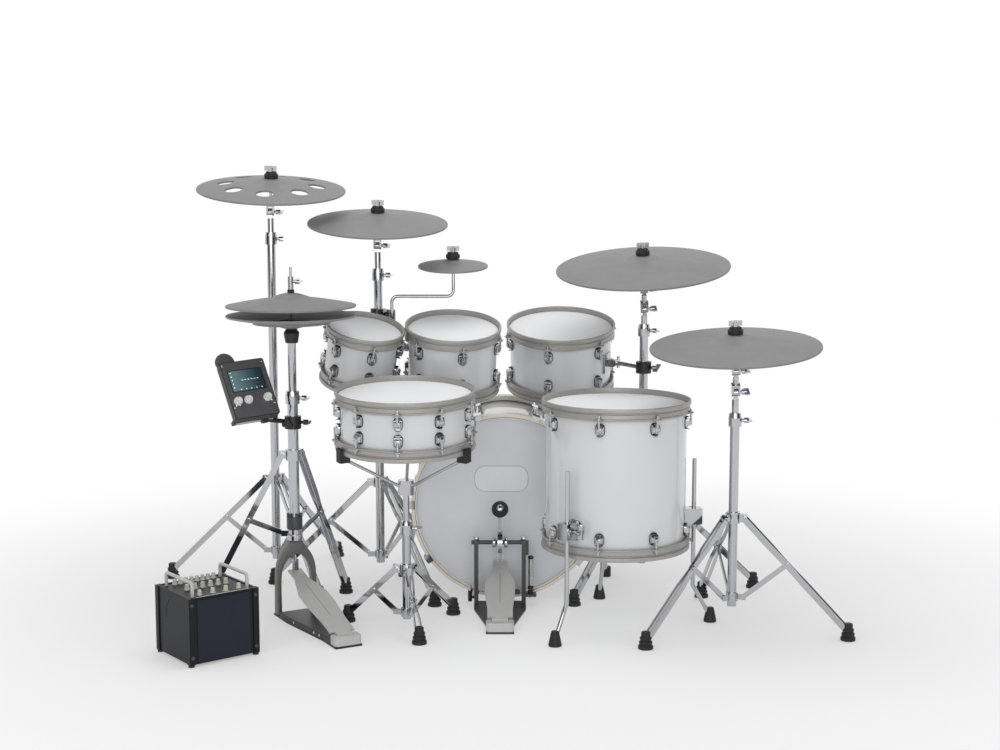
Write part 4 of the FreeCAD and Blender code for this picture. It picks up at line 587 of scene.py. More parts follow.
# Powder-coated steel: warm grey, even and satin
HOOP_GREY = mottled("warm_grey_powder_coat", "9A9895", "A7A6A2", 7.0, (0.9, 0.02), roughness=0.36,
                    metallic=0.35)
MESH = mesh_cloth()
# Silver-grey sound-damping film over foam: slightly uneven and satin
FILM = mottled("silver_grey_film", "D2D4D9", "DCDEE2", 60.0, (2.5, 0.03), roughness=0.4)
# Self-adhesive reinforcing patch: a paler, smoother film
PATCH = mottled("pale_patch_film", "DFE0E4", "E6E7EA", 30.0, roughness=0.5)
CYMBAL = cymbal_rubber()
# Polished chrome plate: mirror-bright, with a breath of haze
CHROME = bare_metal("polished_chrome", "B8BABD", 0.05, 0.13, 18.0)
# Moulded black rubber: matt, with a fine skin
RUBBER = mottled("black_rubber", "161617", "232324", 9.0, (1.1, 0.05), roughness=0.62, ior=1.5)
# Moulded glass-filled nylon: black, slightly shiny on the edges
NYLON = mottled("black_nylon", "131314", "1E1E20", 14.0, (0.8, 0.03), roughness=0.42, ior=1.5)
MAPLE = maple()
# Sand-blasted cast alloy under grey, charcoal and warm grey paint: even, slightly pebbled
CAST = mottled("grey_painted_casting", "B4B4B2", "C2C2BF", 24.0, (1.4, 0.05), roughness=0.42, metallic=0.15)
DARK_CAST = mottled("charcoal_painted_casting", "3E3F40", "4D4E4F", 20.0, (1.4, 0.05), roughness=0.38,
                    metallic=0.35)
YOKE = mottled("warm_grey_casting", "62615E", "706F6B", 16.0, (1.4, 0.05), roughness=0.4, metallic=0.4)
# Anodised aluminium front: dark grey, faintly brushed
MODULE_GREY = mottled("dark_anodised_front", "56565A", "636367", 30.0, (0.7, 0.02), roughness=0.42,
                      metallic=0.3)
# Painted sheet metal, dark navy and near-black blue: satin, with a slight orange peel
NAVY = mottled("navy_painted_sheet", "121724", "191F2E", 40.0, (1.8, 0.02), roughness=0.42,
               specular_ior_level=0.3)
CASE = mottled("blue_black_painted_sheet", "0E1015", "16181E", 45.0, (1.8, 0.02), roughness=0.42,
               specular_ior_level=0.25)
# Moulded pale grey ABS: soft sheen
CAP = mottled("pale_grey_abs", "B9B8B0", "C8C7C0", 6.0, roughness=0.45, ior=1.5)
# Turned and clear-anodised aluminium: bright, with fine tool marks
BRIGHT = bare_metal("turned_aluminium", "DADADA", 0.18, 0.3, 1.2)
SCREEN = screen_glass()
# Small lamps and lit marks behind clear plastic
LIT = mottled("lit_marks", "DCE6EA", "F2F6F7", 3.0, roughness=0.3, emission_strength=0.5,
              emission_color=hex_colour("E8F0F4"))
GREEN = plain_plastic("green_plastic", "24423A", "2C4D43")
TEAL = plain_plastic("teal_plastic", "2F6E78", "397C86")
YELLOW = plain_plastic("yellow_plastic", "B59A2E", "C2A83C")
RED = plain_plastic("red_plastic", "8E2E28", "9B3831")
SILVER = plain_plastic("silver_white_plastic", "D2D2D1", "E0E0DE")


# Studio: a pale floor that fades to white, soft boxes and a camera at the player's side
CAMERA_PLACE = (0.0, -4.6, 1.3)
CAMERA_PITCH = 7.7
CAMERA_LENS = 60.5
CAMERA_SENSOR = 36.0
FLOOR_HALF = 9.0
FLOOR_CLEAR = 0.5 * MM
FADE_START, FADE_END, FADE_LOW = 0.9, 2.4, 0.35
WHITE = (1, 1, 1, 1)
# Name, place, target, width, height and power of each lamp
SOFT_BOXES = (("key_box", (-2.6, -2.8, 2.9), (0, 0, 0.5), 1.6, 2.2, 14),
              ("fill_box", (2.8, -2.6, 2.2), (0.1, 0, 0.5), 1.2, 2.2, 10),
              ("top_box", (0, 0.2, 3.4), (0, 0.1, 0), 3.0, 2.0, 34),
              ("front_box", (0, -5.4, 1.7), (0, 0, 0.4), 4.0, 2.4, 66))


def floor():
    deselect()
    bpy.ops.mesh.primitive_plane_add(size=2 * FLOOR_HALF)
    ground = named("studio_floor")
    in_edit(ground)
    bpy.ops.transform.translate(value=(0, 0, -FLOOR_CLEAR))
    bpy.ops.mesh.subdivide(number_cuts=4)
    out_of_edit()
    material, tree, shader, place = new_finish("pale_floor", roughness=0.75, base_color=hex_colour("F4F4F4"))
    away = add_node(tree, "ShaderNodeVectorMath", {"operation": "LENGTH"}, {0: place.outputs["Object"]})
    fade = ramp(tree, away.outputs["Value"], FADE_START, FADE_END, FADE_LOW)
    white = add_node(tree, "ShaderNodeEmission", inputs={"Color": WHITE, "Strength": 1.0})
    blend = add_node(tree, "ShaderNodeMixShader", inputs={0: fade, 1: shader.outputs[0], 2: white.outputs[0]})
    tree.links.new(blend.outputs[0], tree.nodes["Material Output"].inputs["Surface"])
    coated(ground, material)


def soft_box(name, place, target, wide, high, watts):
    lamp = bpy.data.lights.new(name, "AREA")
    lamp.shape = "RECTANGLE"
    lamp.size = wide
    lamp.size_y = high
    lamp.energy = watts
    holder = bpy.data.objects.new(name, lamp)
    bpy.context.scene.collection.objects.link(holder)
    holder.location = place
    holder.rotation_euler = (Vector(target) - Vector(place)).to_track_quat("-Z", "Y").to_euler()


def studio():
    """White surroundings for the eye; reflections see a bright strip in front, dark sides, a bright back."""
    world = bpy.data.worlds.new("studio_room")
    world.use_nodes = True
    bpy.context.scene.world = world
    tree = world.node_tree
    tree.nodes.clear()

    def backdrop(strength):
        return add_node(tree, "ShaderNodeBackground", inputs={"Color": WHITE, "Strength": strength}).outputs[0]

    def brighter(a, b):
        return add_node(tree, "ShaderNodeMath", {"operation": "MAXIMUM"}, {0: a, 1: b}).outputs[0]

    def mixed(share, a, b):
        return add_node(tree, "ShaderNodeMixShader", inputs={0: share, 1: a, 2: b}).outputs[0]

    ray = add_node(tree, "ShaderNodeLightPath")
    way = add_node(tree, "ShaderNodeTexCoord")
    depth = add_node(tree, "ShaderNodeSeparateXYZ", inputs={0: way.outputs["Generated"]}).outputs["Y"]
    walls = ramp(tree, depth, -0.35, 0.4, 0.07, 1.0)
    strip = ramp(tree, depth, -0.72, -0.9, 0.0, 0.9)
    shiny = brighter(ray.outputs["Is Glossy Ray"], ray.outputs["Is Transmission Ray"])
    lit = mixed(shiny, backdrop(0.55), backdrop(brighter(walls, strip)))
    seen = mixed(ray.outputs["Is Camera Ray"], lit, backdrop(1.0))
    add_node(tree, "ShaderNodeOutputWorld", inputs={"Surface": seen})
    for lamp in SOFT_BOXES:
        soft_box(*lamp)


def camera():
    lens = bpy.data.cameras.new("photo_camera")
    lens.lens = CAMERA_LENS
    lens.sensor_width = CAMERA_SENSOR
    holder = bpy.data.objects.new("photo_camera", lens)
    bpy.context.scene.collection.objects.link(holder)
    holder.location = CAMERA_PLACE
    holder.rotation_euler = (math.radians(90 - CAMERA_PITCH), 0, 0)
    bpy.context.scene.camera = holder
    bpy.context.scene.view_settings.view_transform = "Standard"


# Drums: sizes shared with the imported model, in metres
SHELL_WALL = 6 * MM
RIM_RISE = 16.5 * MM
HOOP_HIGH = 33 * MM
HEAD_DROP = 15 * MM
HEAD_OVER = 4.6 * MM
SKIRT = 12 * MM
LUG_WIDE = 24 * MM
LUG_HIGH = 33 * MM
LUG_DEEP = 17 * MM
LUG_DOME = 9.5 * MM
LUG_DROP = 8 * MM
GASKET_OVER = 1.8 * MM
ROD_OFFSET = 14 * MM
ROD_DIA = 6 * MM
EAR_IN = 6.5 * MM
EAR_DEEP = 9.5 * MM
EAR_WIDE = 30 * MM
BRACKET_LEAST = 40 * MM
TURN_OVER = turn(180, "X")


def drum_place(name, towards):
    """Frame at the middle of a drum's shell, with its radius and its half length between the rims."""
    points = node_points(name + "_shell")
    matrix = round_frame(points, towards)
    return matrix, radius_in(points, matrix), box_in(points, matrix)[1][2]


def lacquered_shell(name, matrix, radius, half):
    """Drum shell with bearing edges rounded over."""
    inner = radius - SHELL_WALL
    corners = [(inner, 0), (inner, half), (radius, half), (radius, -half), (inner, -half), (inner, 0)]
    shell = turned("shell", rounded(corners, 1.5 * MM)[:-1], closed=True)
    dressed(coated(settle(shell, matrix), PEARL), body_of(name + "_shell"), name + "_shell")
    shell.name = name + "_lacquer"


def hoop_piece(radius):
    """Flanged hoop: rolled top edge, groove under it, band, lower flange and the bore over the head."""
    bore = radius + 5.2 * MM
    inner = bore - 0.6 * MM
    lip = radius + 11.6 * MM
    groove = radius + 6 * MM
    band = radius + 8.4 * MM
    flange = lip - 1.2 * MM
    steps = [(bore, -9), (bore, 0), (lip, 0), (lip, -11.5), (groove, -12.5), (groove, -15.5), (band, -16.5),
             (band, -27), (flange, -28.5), (flange, -33), (inner, -33), (inner, -9)]
    return turned("hoop", rounded([(r, z * MM) for r, z in steps], 3.4 * MM)[:-1], closed=True)


def head_piece(radius, drop, dip, ease):
    """Drum head: flat skin that dips a little inside the hoop, rounded collar and skirt."""
    edge, skin = radius + HEAD_OVER, -drop - dip
    corners = [(edge, -drop - SKIRT), (edge, -drop), (radius * 0.6, skin), (radius * 0.2, skin)]
    head = turned("head", rounded(corners, ease) + [(0, skin)])
    flat_map(head)
    return head


def lug_piece():
    """Domed chrome lug on a thin black gasket, on the +X side, its blunter end towards the hoop."""
    base = LUG_DEEP - LUG_DOME
    body = block("lug", (base, LUG_WIDE, LUG_HIGH), (base / 2, 0, 0))
    rounded_end(body, LUG_WIDE * 0.48, -1)
    rounded_end(body, LUG_WIDE * 0.4, 1)
    domed(body, X_AXIS, LUG_DOME)
    gasket = block("gasket", (1.6 * MM, LUG_WIDE + GASKET_OVER, LUG_HIGH + GASKET_OVER), (0.5 * MM, 0, 0))
    rounded_end(gasket, LUG_WIDE * 0.5, -1)
    rounded_end(gasket, LUG_WIDE * 0.42, 1)
    return coated(body, CHROME), coated(gasket, RUBBER)


def rod_piece(low, ear_top):
    """Tension rod with washer, collar and square key head."""
    steps = [(5.5, 0), (5.5, 2), (3.6, 2.2), (3.6, 4), (2.6, 4.4), (0, 4.5)]
    head = [(r * MM, ear_top + z * MM) for r, z in steps]
    rod = turned("rod", [(ROD_DIA / 2, low), (ROD_DIA / 2, ear_top)] + head, 16)
    key = block("key", (5.4 * MM, 5.4 * MM, 6 * MM), (0, 0, ear_top + 7 * MM))
    softened(key, 0.6 * MM)
    whole = joined("rod", [rod, key])
    return coated(smooth(settle(whole, Matrix.Translation((ROD_OFFSET, 0, 0)))), CHROME)


def fitting_piece(radius, half):
    """Lug, gasket and rod of one upper fitting, on the +X side of a drum."""
    hoop_low = half + RIM_RISE - HOOP_HIGH
    lug_z = hoop_low - LUG_DROP - LUG_HIGH / 2
    body, gasket = lug_piece()
    rod = rod_piece(lug_z, hoop_low + 5 * MM)
    for piece in (body, gasket):
        settle(piece, Matrix.Translation((radius - 0.2 * MM, 0, lug_z)))
    settle(rod, Matrix.Translation((radius, 0, 0)))
    return joined("fitting", [body, gasket, rod])


def ear_piece(radius):
    """Ear of the hoop that the rod passes: a pointed tab that grows out of the lower flange."""
    start = radius + EAR_IN
    tab = block("ear", (EAR_DEEP, EAR_WIDE, 4.5 * MM), (start + EAR_DEEP / 2, 0, -HOOP_HIGH + 2.6 * MM))
    opened(tab, "VERT", lambda vertex: vertex.co.x > start + EAR_DEEP * 0.9)
    bpy.ops.transform.resize(value=(1, 0.42, 1), center_override=(0, 0, 0))
    bpy.ops.transform.translate(value=(5 * MM, 0, 0))
    closed_up()
    return softened(tab, 1.8 * MM, 3)


def lug_places(name, matrix):
    """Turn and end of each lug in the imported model, and the brackets among the lugs."""
    spots, brackets = [], []
    for solid in loose_copies(name + "_lugs"):
        low, high = box_in(points_of(solid), matrix)
        if max(high[:2] - low[:2]) > BRACKET_LEAST:
            brackets.append(solid)
            continue
        middle = (low + high) / 2
        spots.append((math.atan2(middle[1], middle[0]), middle[2] > 0))
        discard(solid)
    return spots, brackets


def leg_rosettes(brackets, matrix, radius):
    """Round stepped flange behind each leg bracket of the floor tom, against the shell."""
    steps = [(0.3, 0), (29, 0), (29, 3), (24, 6.5), (17, 7.5), (13, 12), (0.3, 12)]
    rosette = lathed("rosette", steps, 1.5, 64)
    settle(rosette, Matrix.Translation((radius - 1.2 * MM, 0, 0)) @ turn(90, "Y"))
    places = []
    for bracket in brackets:
        low, high = box_in(points_of(bracket), matrix)
        x, y, z = (low + high) / 2
        places.append(matrix @ Matrix.Translation((0, 0, z)) @ Matrix.Rotation(math.atan2(y, x), 4, "Z"))
    return spread(rosette, *places)


def metal_hooped_drum(name):
    """Dresses one drum: lacquered shell, grey hoops, mesh heads and chrome lugs."""
    matrix, radius, half = drum_place(name, UP)
    body = body_of(name + "_shell")
    rim = Matrix.Translation((0, 0, half + RIM_RISE))
    lacquered_shell(name, matrix, radius, half)
    spots, brackets = lug_places(name, matrix)
    ear, fitting = ear_piece(radius), fitting_piece(radius, half)
    hoops = spread(hoop_piece(radius), rim, TURN_OVER @ rim)
    heads = spread(head_piece(radius, HEAD_DROP, 0.3 * MM, 3 * MM), rim, TURN_OVER @ rim)
    lugs = []
    for angle, upper in spots:
        flip = Matrix.Identity(4) if upper else TURN_OVER
        swing = Matrix.Rotation(angle if upper else -angle, 4, "Z")
        lugs.append(copy_of(fitting, flip @ swing))
        hoops.append(copy_of(ear, flip @ swing @ rim))
    discard(ear, fitting)
    hoop_set = coated(settle(joined(name + "_hoop_pair", hoops), matrix), HOOP_GREY)
    dressed(smooth(hoop_set), body, name + "_hoops")
    dressed(coated(settle(joined(name + "_mesh_heads", heads), matrix), MESH), body, name + "_heads")
    dressed(smooth(settle(joined(name + "_chrome_lugs", lugs), matrix), 40), body, name + "_lugs")
    if brackets:
        rosettes = leg_rosettes(brackets, matrix, radius) if name == "floor_tom" else []
        mount = crisp(joined(name + "_mount", brackets), 0.9 * MM)
        dressed(coated(joined(name + "_brackets", [mount] + rosettes), CHROME), body)


# Kick drum
KICK_HOOP_DEEP = 40 * MM
KICK_HOOP_IN = 1.5 * MM
KICK_HOOP_OUT = 16 * MM
KICK_RISE = 15.5 * MM
KICK_HEAD_DROP = 14 * MM
INLAY_START, INLAY_END, INLAY_DEEP = 3.5 * MM, 4.8 * MM, 0.4 * MM
PATCH_WIDE = 152 * MM
PATCH_HIGH = 73 * MM
PATCH_UP = 79 * MM
PATCH_SIDE = -10 * MM


def maple_hoop(radius):
    """Wooden hoop with a dark inlay line in its front."""
    bore, out = radius + KICK_HOOP_IN, radius + KICK_HOOP_OUT
    deep = -KICK_HOOP_DEEP
    start, end = bore + INLAY_START, bore + INLAY_END
    corners = [(bore, deep / 2), (bore, 0), (start, 0), (start, -INLAY_DEEP), (end, -INLAY_DEEP), (end, 0),
               (out, 0), (out, deep), (bore, deep), (bore, deep / 2)]
    hoop = turned("hoop", rounded(corners, 1.6 * MM)[:-1], closed=True)
    radial_map(hoop)
    coated(hoop, MAPLE, DARK_CAST)
    return painted_where(hoop, 1, lambda spot, normal: spot.z > -1.0 * MM and normal.z > 0.5
                         and start < math.hypot(spot.x, spot.y) < end)


def kick_drum():
    """Shell, maple hoops, film heads and a pale patch with a grey edge where the ball strikes."""
    matrix, radius, half = drum_place("kick", -Y_AXIS)
    body = body_of("kick_shell")
    rim = Matrix.Translation((0, 0, half + KICK_RISE))
    lacquered_shell("kick", matrix, radius, half)
    hoops = spread(maple_hoop(radius), rim, TURN_OVER @ rim)
    heads = spread(head_piece(radius, KICK_HEAD_DROP, 0, 4 * MM), rim, TURN_OVER @ rim)
    dressed(smooth(settle(joined("kick_maple_hoops", hoops), matrix)), body, "kick_hoops")
    dressed(coated(settle(joined("kick_film_heads", heads), matrix), FILM), body, "kick_heads")
    for name, more, rise, finish in (("kick_patch", 0, 0.5 * MM, PATCH),
                                     ("kick_patch_edge", 3 * MM, 0.1 * MM, HOOP_GREY)):
        patch = block(name, (PATCH_WIDE + more, PATCH_HIGH + more, 0.8 * MM))
        round_corners(patch, (PATCH_HIGH + more) * 0.4)
        settle(patch, matrix @ rim @ Matrix.Translation((PATCH_SIDE, PATCH_UP, rise - KICK_HEAD_DROP)))
        dressed(coated(smooth(patch), finish), body)


# Cymbals
BELL_R = 52 * MM
BELL_HIGH = 9 * MM
BELL_STEPS = 12
BOW_STEPS = 16
BOW_SHARE = 0.055
CYMBAL_HOLE = 6 * MM
CYMBAL_THICK = 6 * MM
CYMBAL_EDGE = 5 * MM
EDGE_OUT = 0.6 * MM
VENT_R = 26 * MM
VENT_RING = 135 * MM
# In millimetres: bore, radius and height of the puck, and the section of the ring under the lower hi-hat
PUCK_BORE, PUCK_R, PUCK_HIGH = 6.5, 20.5, 18
HAT_RING = [(88, 17), (106, 15), (106, 24), (88, 24), (88, 17)]
HAT_BELL_R = 56 * MM
HAT_BELL_HIGH = 14 * MM
SPLASH_BELL_R = 32 * MM


def cymbal_profile(rim, bell, bell_high):
    """Bowed disc: soft bell, gentle bow and a blunt moulded edge, as radius and height."""
    bow = BOW_SHARE * 2 * rim
    under, over = [], []
    for step in range(BELL_STEPS + 1):
        r = CYMBAL_HOLE + (bell - CYMBAL_HOLE) * step / BELL_STEPS
        share = (r / bell) ** 2
        under.append((r, bow + bell_high * (1 - share) * (1 - 0.25 * share)))
    for step in range(1, BOW_STEPS + 1):
        share = step / BOW_STEPS
        under.append((bell + (rim - bell) * share, bow * (1 - share) * (1 + 0.24 * share)))
    for r, z in under:
        thin = CYMBAL_THICK - (CYMBAL_THICK - CYMBAL_EDGE) * max(0, (r - bell) / (rim - bell))
        over.append((r, z + thin))
    low, top = under[-1][1], over[-1][1]
    edge = [(rim + 0.5 * MM, low + 0.7 * MM), (rim + EDGE_OUT, top - 1.6 * MM),
            (rim + 0.1 * MM, top - 0.5 * MM)]
    return under + edge + over[::-1]


def cut_vents(disc, vents):
    """Cuts a ring of round vents through a disc."""
    cutters = []
    for step in range(vents):
        angle = math.radians(90 + 360 * step / vents)
        cutter = turned("vent", [(VENT_R, -0.05), (VENT_R, 0.1)], 48)
        in_edit(cutter)
        bpy.ops.mesh.fill_holes(sides=0)
        bpy.ops.mesh.normals_make_consistent(inside=False)
        out_of_edit()
        place = (math.cos(angle) * VENT_RING, math.sin(angle) * VENT_RING, 0)
        cutters.append(settle(cutter, Matrix.Translation(place)))
    tool = joined("vents", cutters)
    with_modifier(disc, "BOOLEAN", object=tool, operation="DIFFERENCE", solver="EXACT")
    discard(tool)
    smooth(disc, 30)


def puck_piece():
    """Black sensor puck that stands on the bell."""
    corners = [(PUCK_BORE, 0), (PUCK_R, 0), (PUCK_R, PUCK_HIGH * 0.62), (PUCK_R * 0.8, PUCK_HIGH * 0.66),
               (PUCK_R * 0.78, PUCK_HIGH), (PUCK_BORE, PUCK_HIGH), (PUCK_BORE, 0)]
    return coated(lathed_ring("puck", corners, 1.4, 48), RUBBER)


def cymbal(name, towards=UP, bell=BELL_R, bell_high=BELL_HIGH, puck=True, vents=0, ring=False):
    points = node_points(name)
    matrix = round_frame(points, towards)
    rim = radius_in(points, matrix)
    matrix = matrix @ Matrix.Translation((0, 0, box_in(points, matrix)[0][2]))
    disc = smooth(turned("disc", cymbal_profile(rim - EDGE_OUT, bell, bell_high), closed=True), 45)
    if vents:
        cut_vents(disc, vents)
    radial_map(disc)
    pieces = [coated(disc, CYMBAL)]
    if puck:
        top = BOW_SHARE * 2 * rim + bell_high + CYMBAL_THICK
        pieces.append(settle(puck_piece(), Matrix.Translation((0, 0, top))))
    if ring:
        pieces.append(coated(lathed_ring("ring", HAT_RING, 1.5), CYMBAL))
    dressed(settle(joined(name + "_pad", pieces), matrix), body_of(name), name)


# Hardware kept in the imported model's shape, with its edges eased and its turned faces smooth.
# From here on, places and sizes are in millimetres unless MM stands beside them.
CHROME_NODES = ("stand_tripods", "crash_left_riser", "crash_left_stem", "crash_middle_riser",
                "crash_middle_stem", "crash_right_riser", "crash_right_arm", "crash_right_stem", "ride_riser",
                "ride_arm", "ride_stem", "hihat_rod", "floor_tom_legs", "kick_lugs")
CRADLE_GRIP_R = 152
SPUR_FOOT_TOP = 36
CLAMP_R = 30
RIBBED_LEAST = 43
RIBBED_FOOT = [(0.3, 0), (20, 0), (20, 8.5), (15.4, 12), (15.4, 13.5), (17.6, 14.5), (17.6, 19.5), (13.4, 23),
               (13.4, 24.5), (15.5, 25.5), (15.5, 30.5), (12.2, 34), (12.2, 44), (10, 46)]
PLAIN_FOOT = [(0.3, 0), (17.5, 0), (17.5, 6), (16.6, 10), (10.8, 37), (9.6, 40)]


def barrel(name, radius, low, high, ease, segments=ROUND):
    """Round bar with eased rims."""
    core = 0.3
    return lathed(name, [(core, low), (radius, low), (radius, high), (core, high)], ease, segments)


def eased(node, finish):
    whole = crisp(joined(node + "_finish", loose_copies(node)), 0.6 * MM)
    dressed(coated(whole, finish), body_of(node), node)


def zoned(node, finishes, zone, width=0.6 * MM, replaced=None):
    """Eases a node's solids; a rule picks the finish of each face by number, or None to leave it out."""
    solids = []
    for solid in loose_copies(node):
        points = points_of(solid)
        if replaced and replaced(points.min(axis=0) / MM, points.max(axis=0) / MM):
            discard(solid)
        else:
            solids.append(solid)
    whole = without(joined(node + "_finish", solids), lambda spot, normal: zone(spot / MM) is None)
    coated(crisp(whole, width), *finishes)
    for face in whole.data.polygons:
        face.material_index = zone(face.center / MM) or 0
    dressed(whole, body_of(node), node)


def away_from(spot, centre):
    """Level distance between two places."""
    return math.hypot(spot.x - centre.x, spot.y - centre.y)


def cymbal_stands():
    """Chrome tubes and tilters, the snare's cradle with its rubber grips, and the spurs with their feet."""
    for node in CHROME_NODES:
        eased(node, CHROME)
    middle = Vector(node_points("snare_shell").mean(axis=0)) / MM
    zoned("snare_cradle", (CHROME, RUBBER), lambda spot: 1 if away_from(spot, middle) > CRADLE_GRIP_R else 0)
    for side in ("left", "right"):
        zoned("kick_spur_" + side, (CHROME, RUBBER), lambda spot: 1 if spot.z < SPUR_FOOT_TOP else 0)


def tom_holders():
    """Chrome rods on black clamp blocks that grip the stand tubes."""
    holders = crisp(joined("tom_holders_finish", loose_copies("tom_holders")), 0.7 * MM, 35)
    coated(holders, CHROME, NYLON)
    for stand in ("crash_middle_riser", "ride_riser"):
        centre = Vector(node_points(stand).mean(axis=0))
        painted_where(holders, 1, lambda spot, normal: away_from(spot, centre) < CLAMP_R * MM)
    dressed(holders, body_of("tom_holders"), "tom_holders")


def rubber_feet():
    """Ribbed feet of the stands and plain feet of the floor tom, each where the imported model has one."""
    ribbed, plain = (lathed("foot", profile, 1.6, 48, tipped=True, steps=3)
                     for profile in (RIBBED_FOOT, PLAIN_FOOT))
    feet = []
    for solid in loose_copies("rubber_feet"):
        points = points_of(solid)
        low, high = points.min(axis=0), points.max(axis=0)
        x, y = ((low + high) / 2)[:2]
        feet.append(copy_of(ribbed if high[2] > RIBBED_LEAST * MM else plain, Matrix.Translation((x, y, 0))))
        discard(solid)
    discard(ribbed, plain)
    dressed(coated(smooth(joined("ribbed_feet", feet)), RUBBER), body_of("rubber_feet"), "rubber_feet")


# Pedals: hinge and toe of each board, and the places that the kick pedal's small pieces share
KICK_HEEL, KICK_TOE = (0, -170, 24), (0, 136, 112)
HAT_HEEL, HAT_TOE = (0, -340, 24), (0, 8, 120)
BOARD_TOP = 7.6
LINK_LOW = 9.5
HEEL_TOP = 37
PLATE_TOP = 4.9
POST_Y = 95
SPRING_X = 88
CAP_X, CAP_Z = 68, 189
HUB_Z = 183
BALL_PLACE = (0, 72, 284)
BALL_R = 24
SCREW_TILT = 68


def heel_plate(reach, place):
    """Rounded heel block with a notch for the board's hinge, and the hinge pin, about the hinge."""
    ahead = 10
    size = Vector((76, reach + ahead, 25.2)) * MM
    heel = block("heel", size, Vector((0, (ahead - reach) / 2, -6.6)) * MM)
    round_corners(heel, 9 * MM)
    notch = block("notch", Vector((46, 25, 60)) * MM)
    with_modifier(heel, "BOOLEAN", object=notch, operation="DIFFERENCE", solver="EXACT")
    discard(notch)
    coated(crisp(heel, 2.2 * MM), CAST)
    pin = settle(barrel("pin", 4, -35, 35, 0.6, SMALL_ROUND), turn(90, "Y"))
    return settle(joined("heel_plate", [heel, coated(pin, CHROME)]), place)


def pedal_board(node, place, heel, toe):
    """Footboard with a bright link at its toe, and a thin charcoal strip along its middle that is painted
    shade of a groove.
    """
    run = (Vector(toe) - Vector(heel)) * MM
    matrix = place @ at(*heel) @ Matrix.Rotation(math.atan2(run.z, run.y), 4, "X")
    back = matrix.inverted()
    whole = crisp(joined(node + "_finish", loose_copies(node)), 0.8 * MM, 35)
    coated(whole, CAST, BRIGHT)
    painted_where(whole, 1, lambda spot, normal: (back @ spot).z > LINK_LOW * MM
                  or (back @ spot).y > run.length + 1 * MM)
    dressed(whole, body_of(node), node)
    # Painted shade: a thin charcoal strip laid on the board where a groove's shade would fall; no groove is
    # cut
    groove = plate("groove", 1.3, run.length / MM * 0.5, 0.5, 0.6)
    settle(groove, matrix @ Matrix.Translation((0, run.length * 0.52, BOARD_TOP * MM)))
    dressed(coated(groove, DARK_CAST), body_of(node))


def coil(name, radius, wire, pitch, turns):
    """Close-wound spring that starts on the ground plane."""
    deselect()
    bpy.ops.mesh.primitive_circle_add(vertices=10, radius=wire * MM / 2)
    spring = named(name)
    in_edit(spring)
    bpy.ops.transform.rotate(value=math.pi / 2, orient_axis="X", center_override=(0, 0, 0))
    bpy.ops.transform.translate(value=(radius * MM, 0, wire * MM / 2))
    out_of_edit()
    with_modifier(spring, "SCREW", axis="Z", angle=2 * math.pi, screw_offset=pitch * MM, iterations=turns,
                  steps=24)
    return smooth(tidy(spring), 60)


def kick_pedal_frame():
    """Charcoal frame with a grey heel plate, bright bearing caps, a wound spring and a clamp handle."""
    body = body_of("kick_pedal_frame")
    zoned("kick_pedal_frame", (DARK_CAST,),
          lambda spot: None if spot.y < KICK_HEEL[1] + 15 and PLATE_TOP < spot.z < HEEL_TOP else 0,
          replaced=lambda low, high: low[0] > SPRING_X - 10 and high[2] > 100)
    dressed(heel_plate(33, at(*KICK_HEEL)), body)
    spring = settle(coil("pedal_spring", 6.2, 2.3, 2.75, 28), at(SPRING_X, POST_Y, 56))
    dressed(coated(spring, BRIGHT), body)
    stud = settle(lathed("stud", [(3, 30), (3, 144)], 0, 16), at(SPRING_X, POST_Y))
    dressed(coated(stud, CHROME), body)
    nut = lathed("nut", [(3, 0), (8, 0), (8, 9), (3, 9)], 1.4, 24)
    nuts = spread(nut, *[at(SPRING_X, POST_Y, z) for z in (34, 46, 134)])
    dressed(coated(joined("spring_nuts", nuts), NYLON), body)
    cap = lathed("cap", [(9, 0), (9, 10), (3, 13)], 3, SMALL_ROUND, tipped=True)
    caps = spread(cap, at(-CAP_X, POST_Y, CAP_Z), at(CAP_X, POST_Y, CAP_Z))
    dressed(coated(joined("bearing_caps", caps), BRIGHT), body)
    handle = lathed("handle", [(0.3, 10), (6, 10), (6, 40), (4, 44), (4, 56), (0.3, 60)], 2, 24)
    stub = settle(lathed("stub", [(4, 0), (4, 16)], 0, 24), turn(90, "Y"))
    pieces = [settle(handle, at(-86, POST_Y)), settle(stub, at(-84, POST_Y, 22))]
    grip = coated(joined("clamp_handle", pieces), NYLON, BRIGHT)
    painted_where(grip, 1, lambda spot, normal: spot.z > 43 * MM)
    dressed(smooth(grip), body)


def kick_beater():
    """Axle with drive hubs, and the black ball on its rod with a bright screw."""
    body = body_of("kick_beater")
    zoned("kick_beater", (CHROME, DARK_CAST), lambda spot: 1 if abs(spot.x) > 9 else 0,
          replaced=lambda low, high: low[2] > 250)
    hub = settle(lathed("hub", [(6.2, 0), (15, 0), (15, 10), (6.2, 10)], 3, 48), turn(90, "Y"))
    hubs = spread(hub, at(-22, POST_Y, HUB_Z), at(12, POST_Y, HUB_Z))
    dressed(coated(joined("drive_hubs", hubs), CHROME), body)
    angles = [math.radians(degrees) for degrees in range(2, 179, 8)]
    arc = [(BALL_R * math.sin(angle), -BALL_R * math.cos(angle)) for angle in angles]
    ball = settle(turned("ball", in_metres(arc), 64), at(*BALL_PLACE))
    dressed(coated(ball, RUBBER), body)
    screw = coated(dome("ball_screw", 9.5, 3.5), CHROME)
    hole = coated(settle(button("hole", 3, 0.4, 0.1), at(0, 0, 3.3)), NYLON)
    head = joined("ball_screw", [screw, hole])
    dressed(settle(head, at(*BALL_PLACE) @ turn(SCREW_TILT, "X") @ at(0, 0, 22.6)), body)


# Hi-hat stand
HIHAT_X = -574
HIHAT = at(HIHAT_X, 0) @ turn(28.7, "Z")
SEAT_LOW, SEAT_HIGH = 765, 807
HEEL_END = -250
YOKE_TOP, YOKE_HALF, YOKE_DEEP = 213, 64, 24
TUBE_R = 15.3
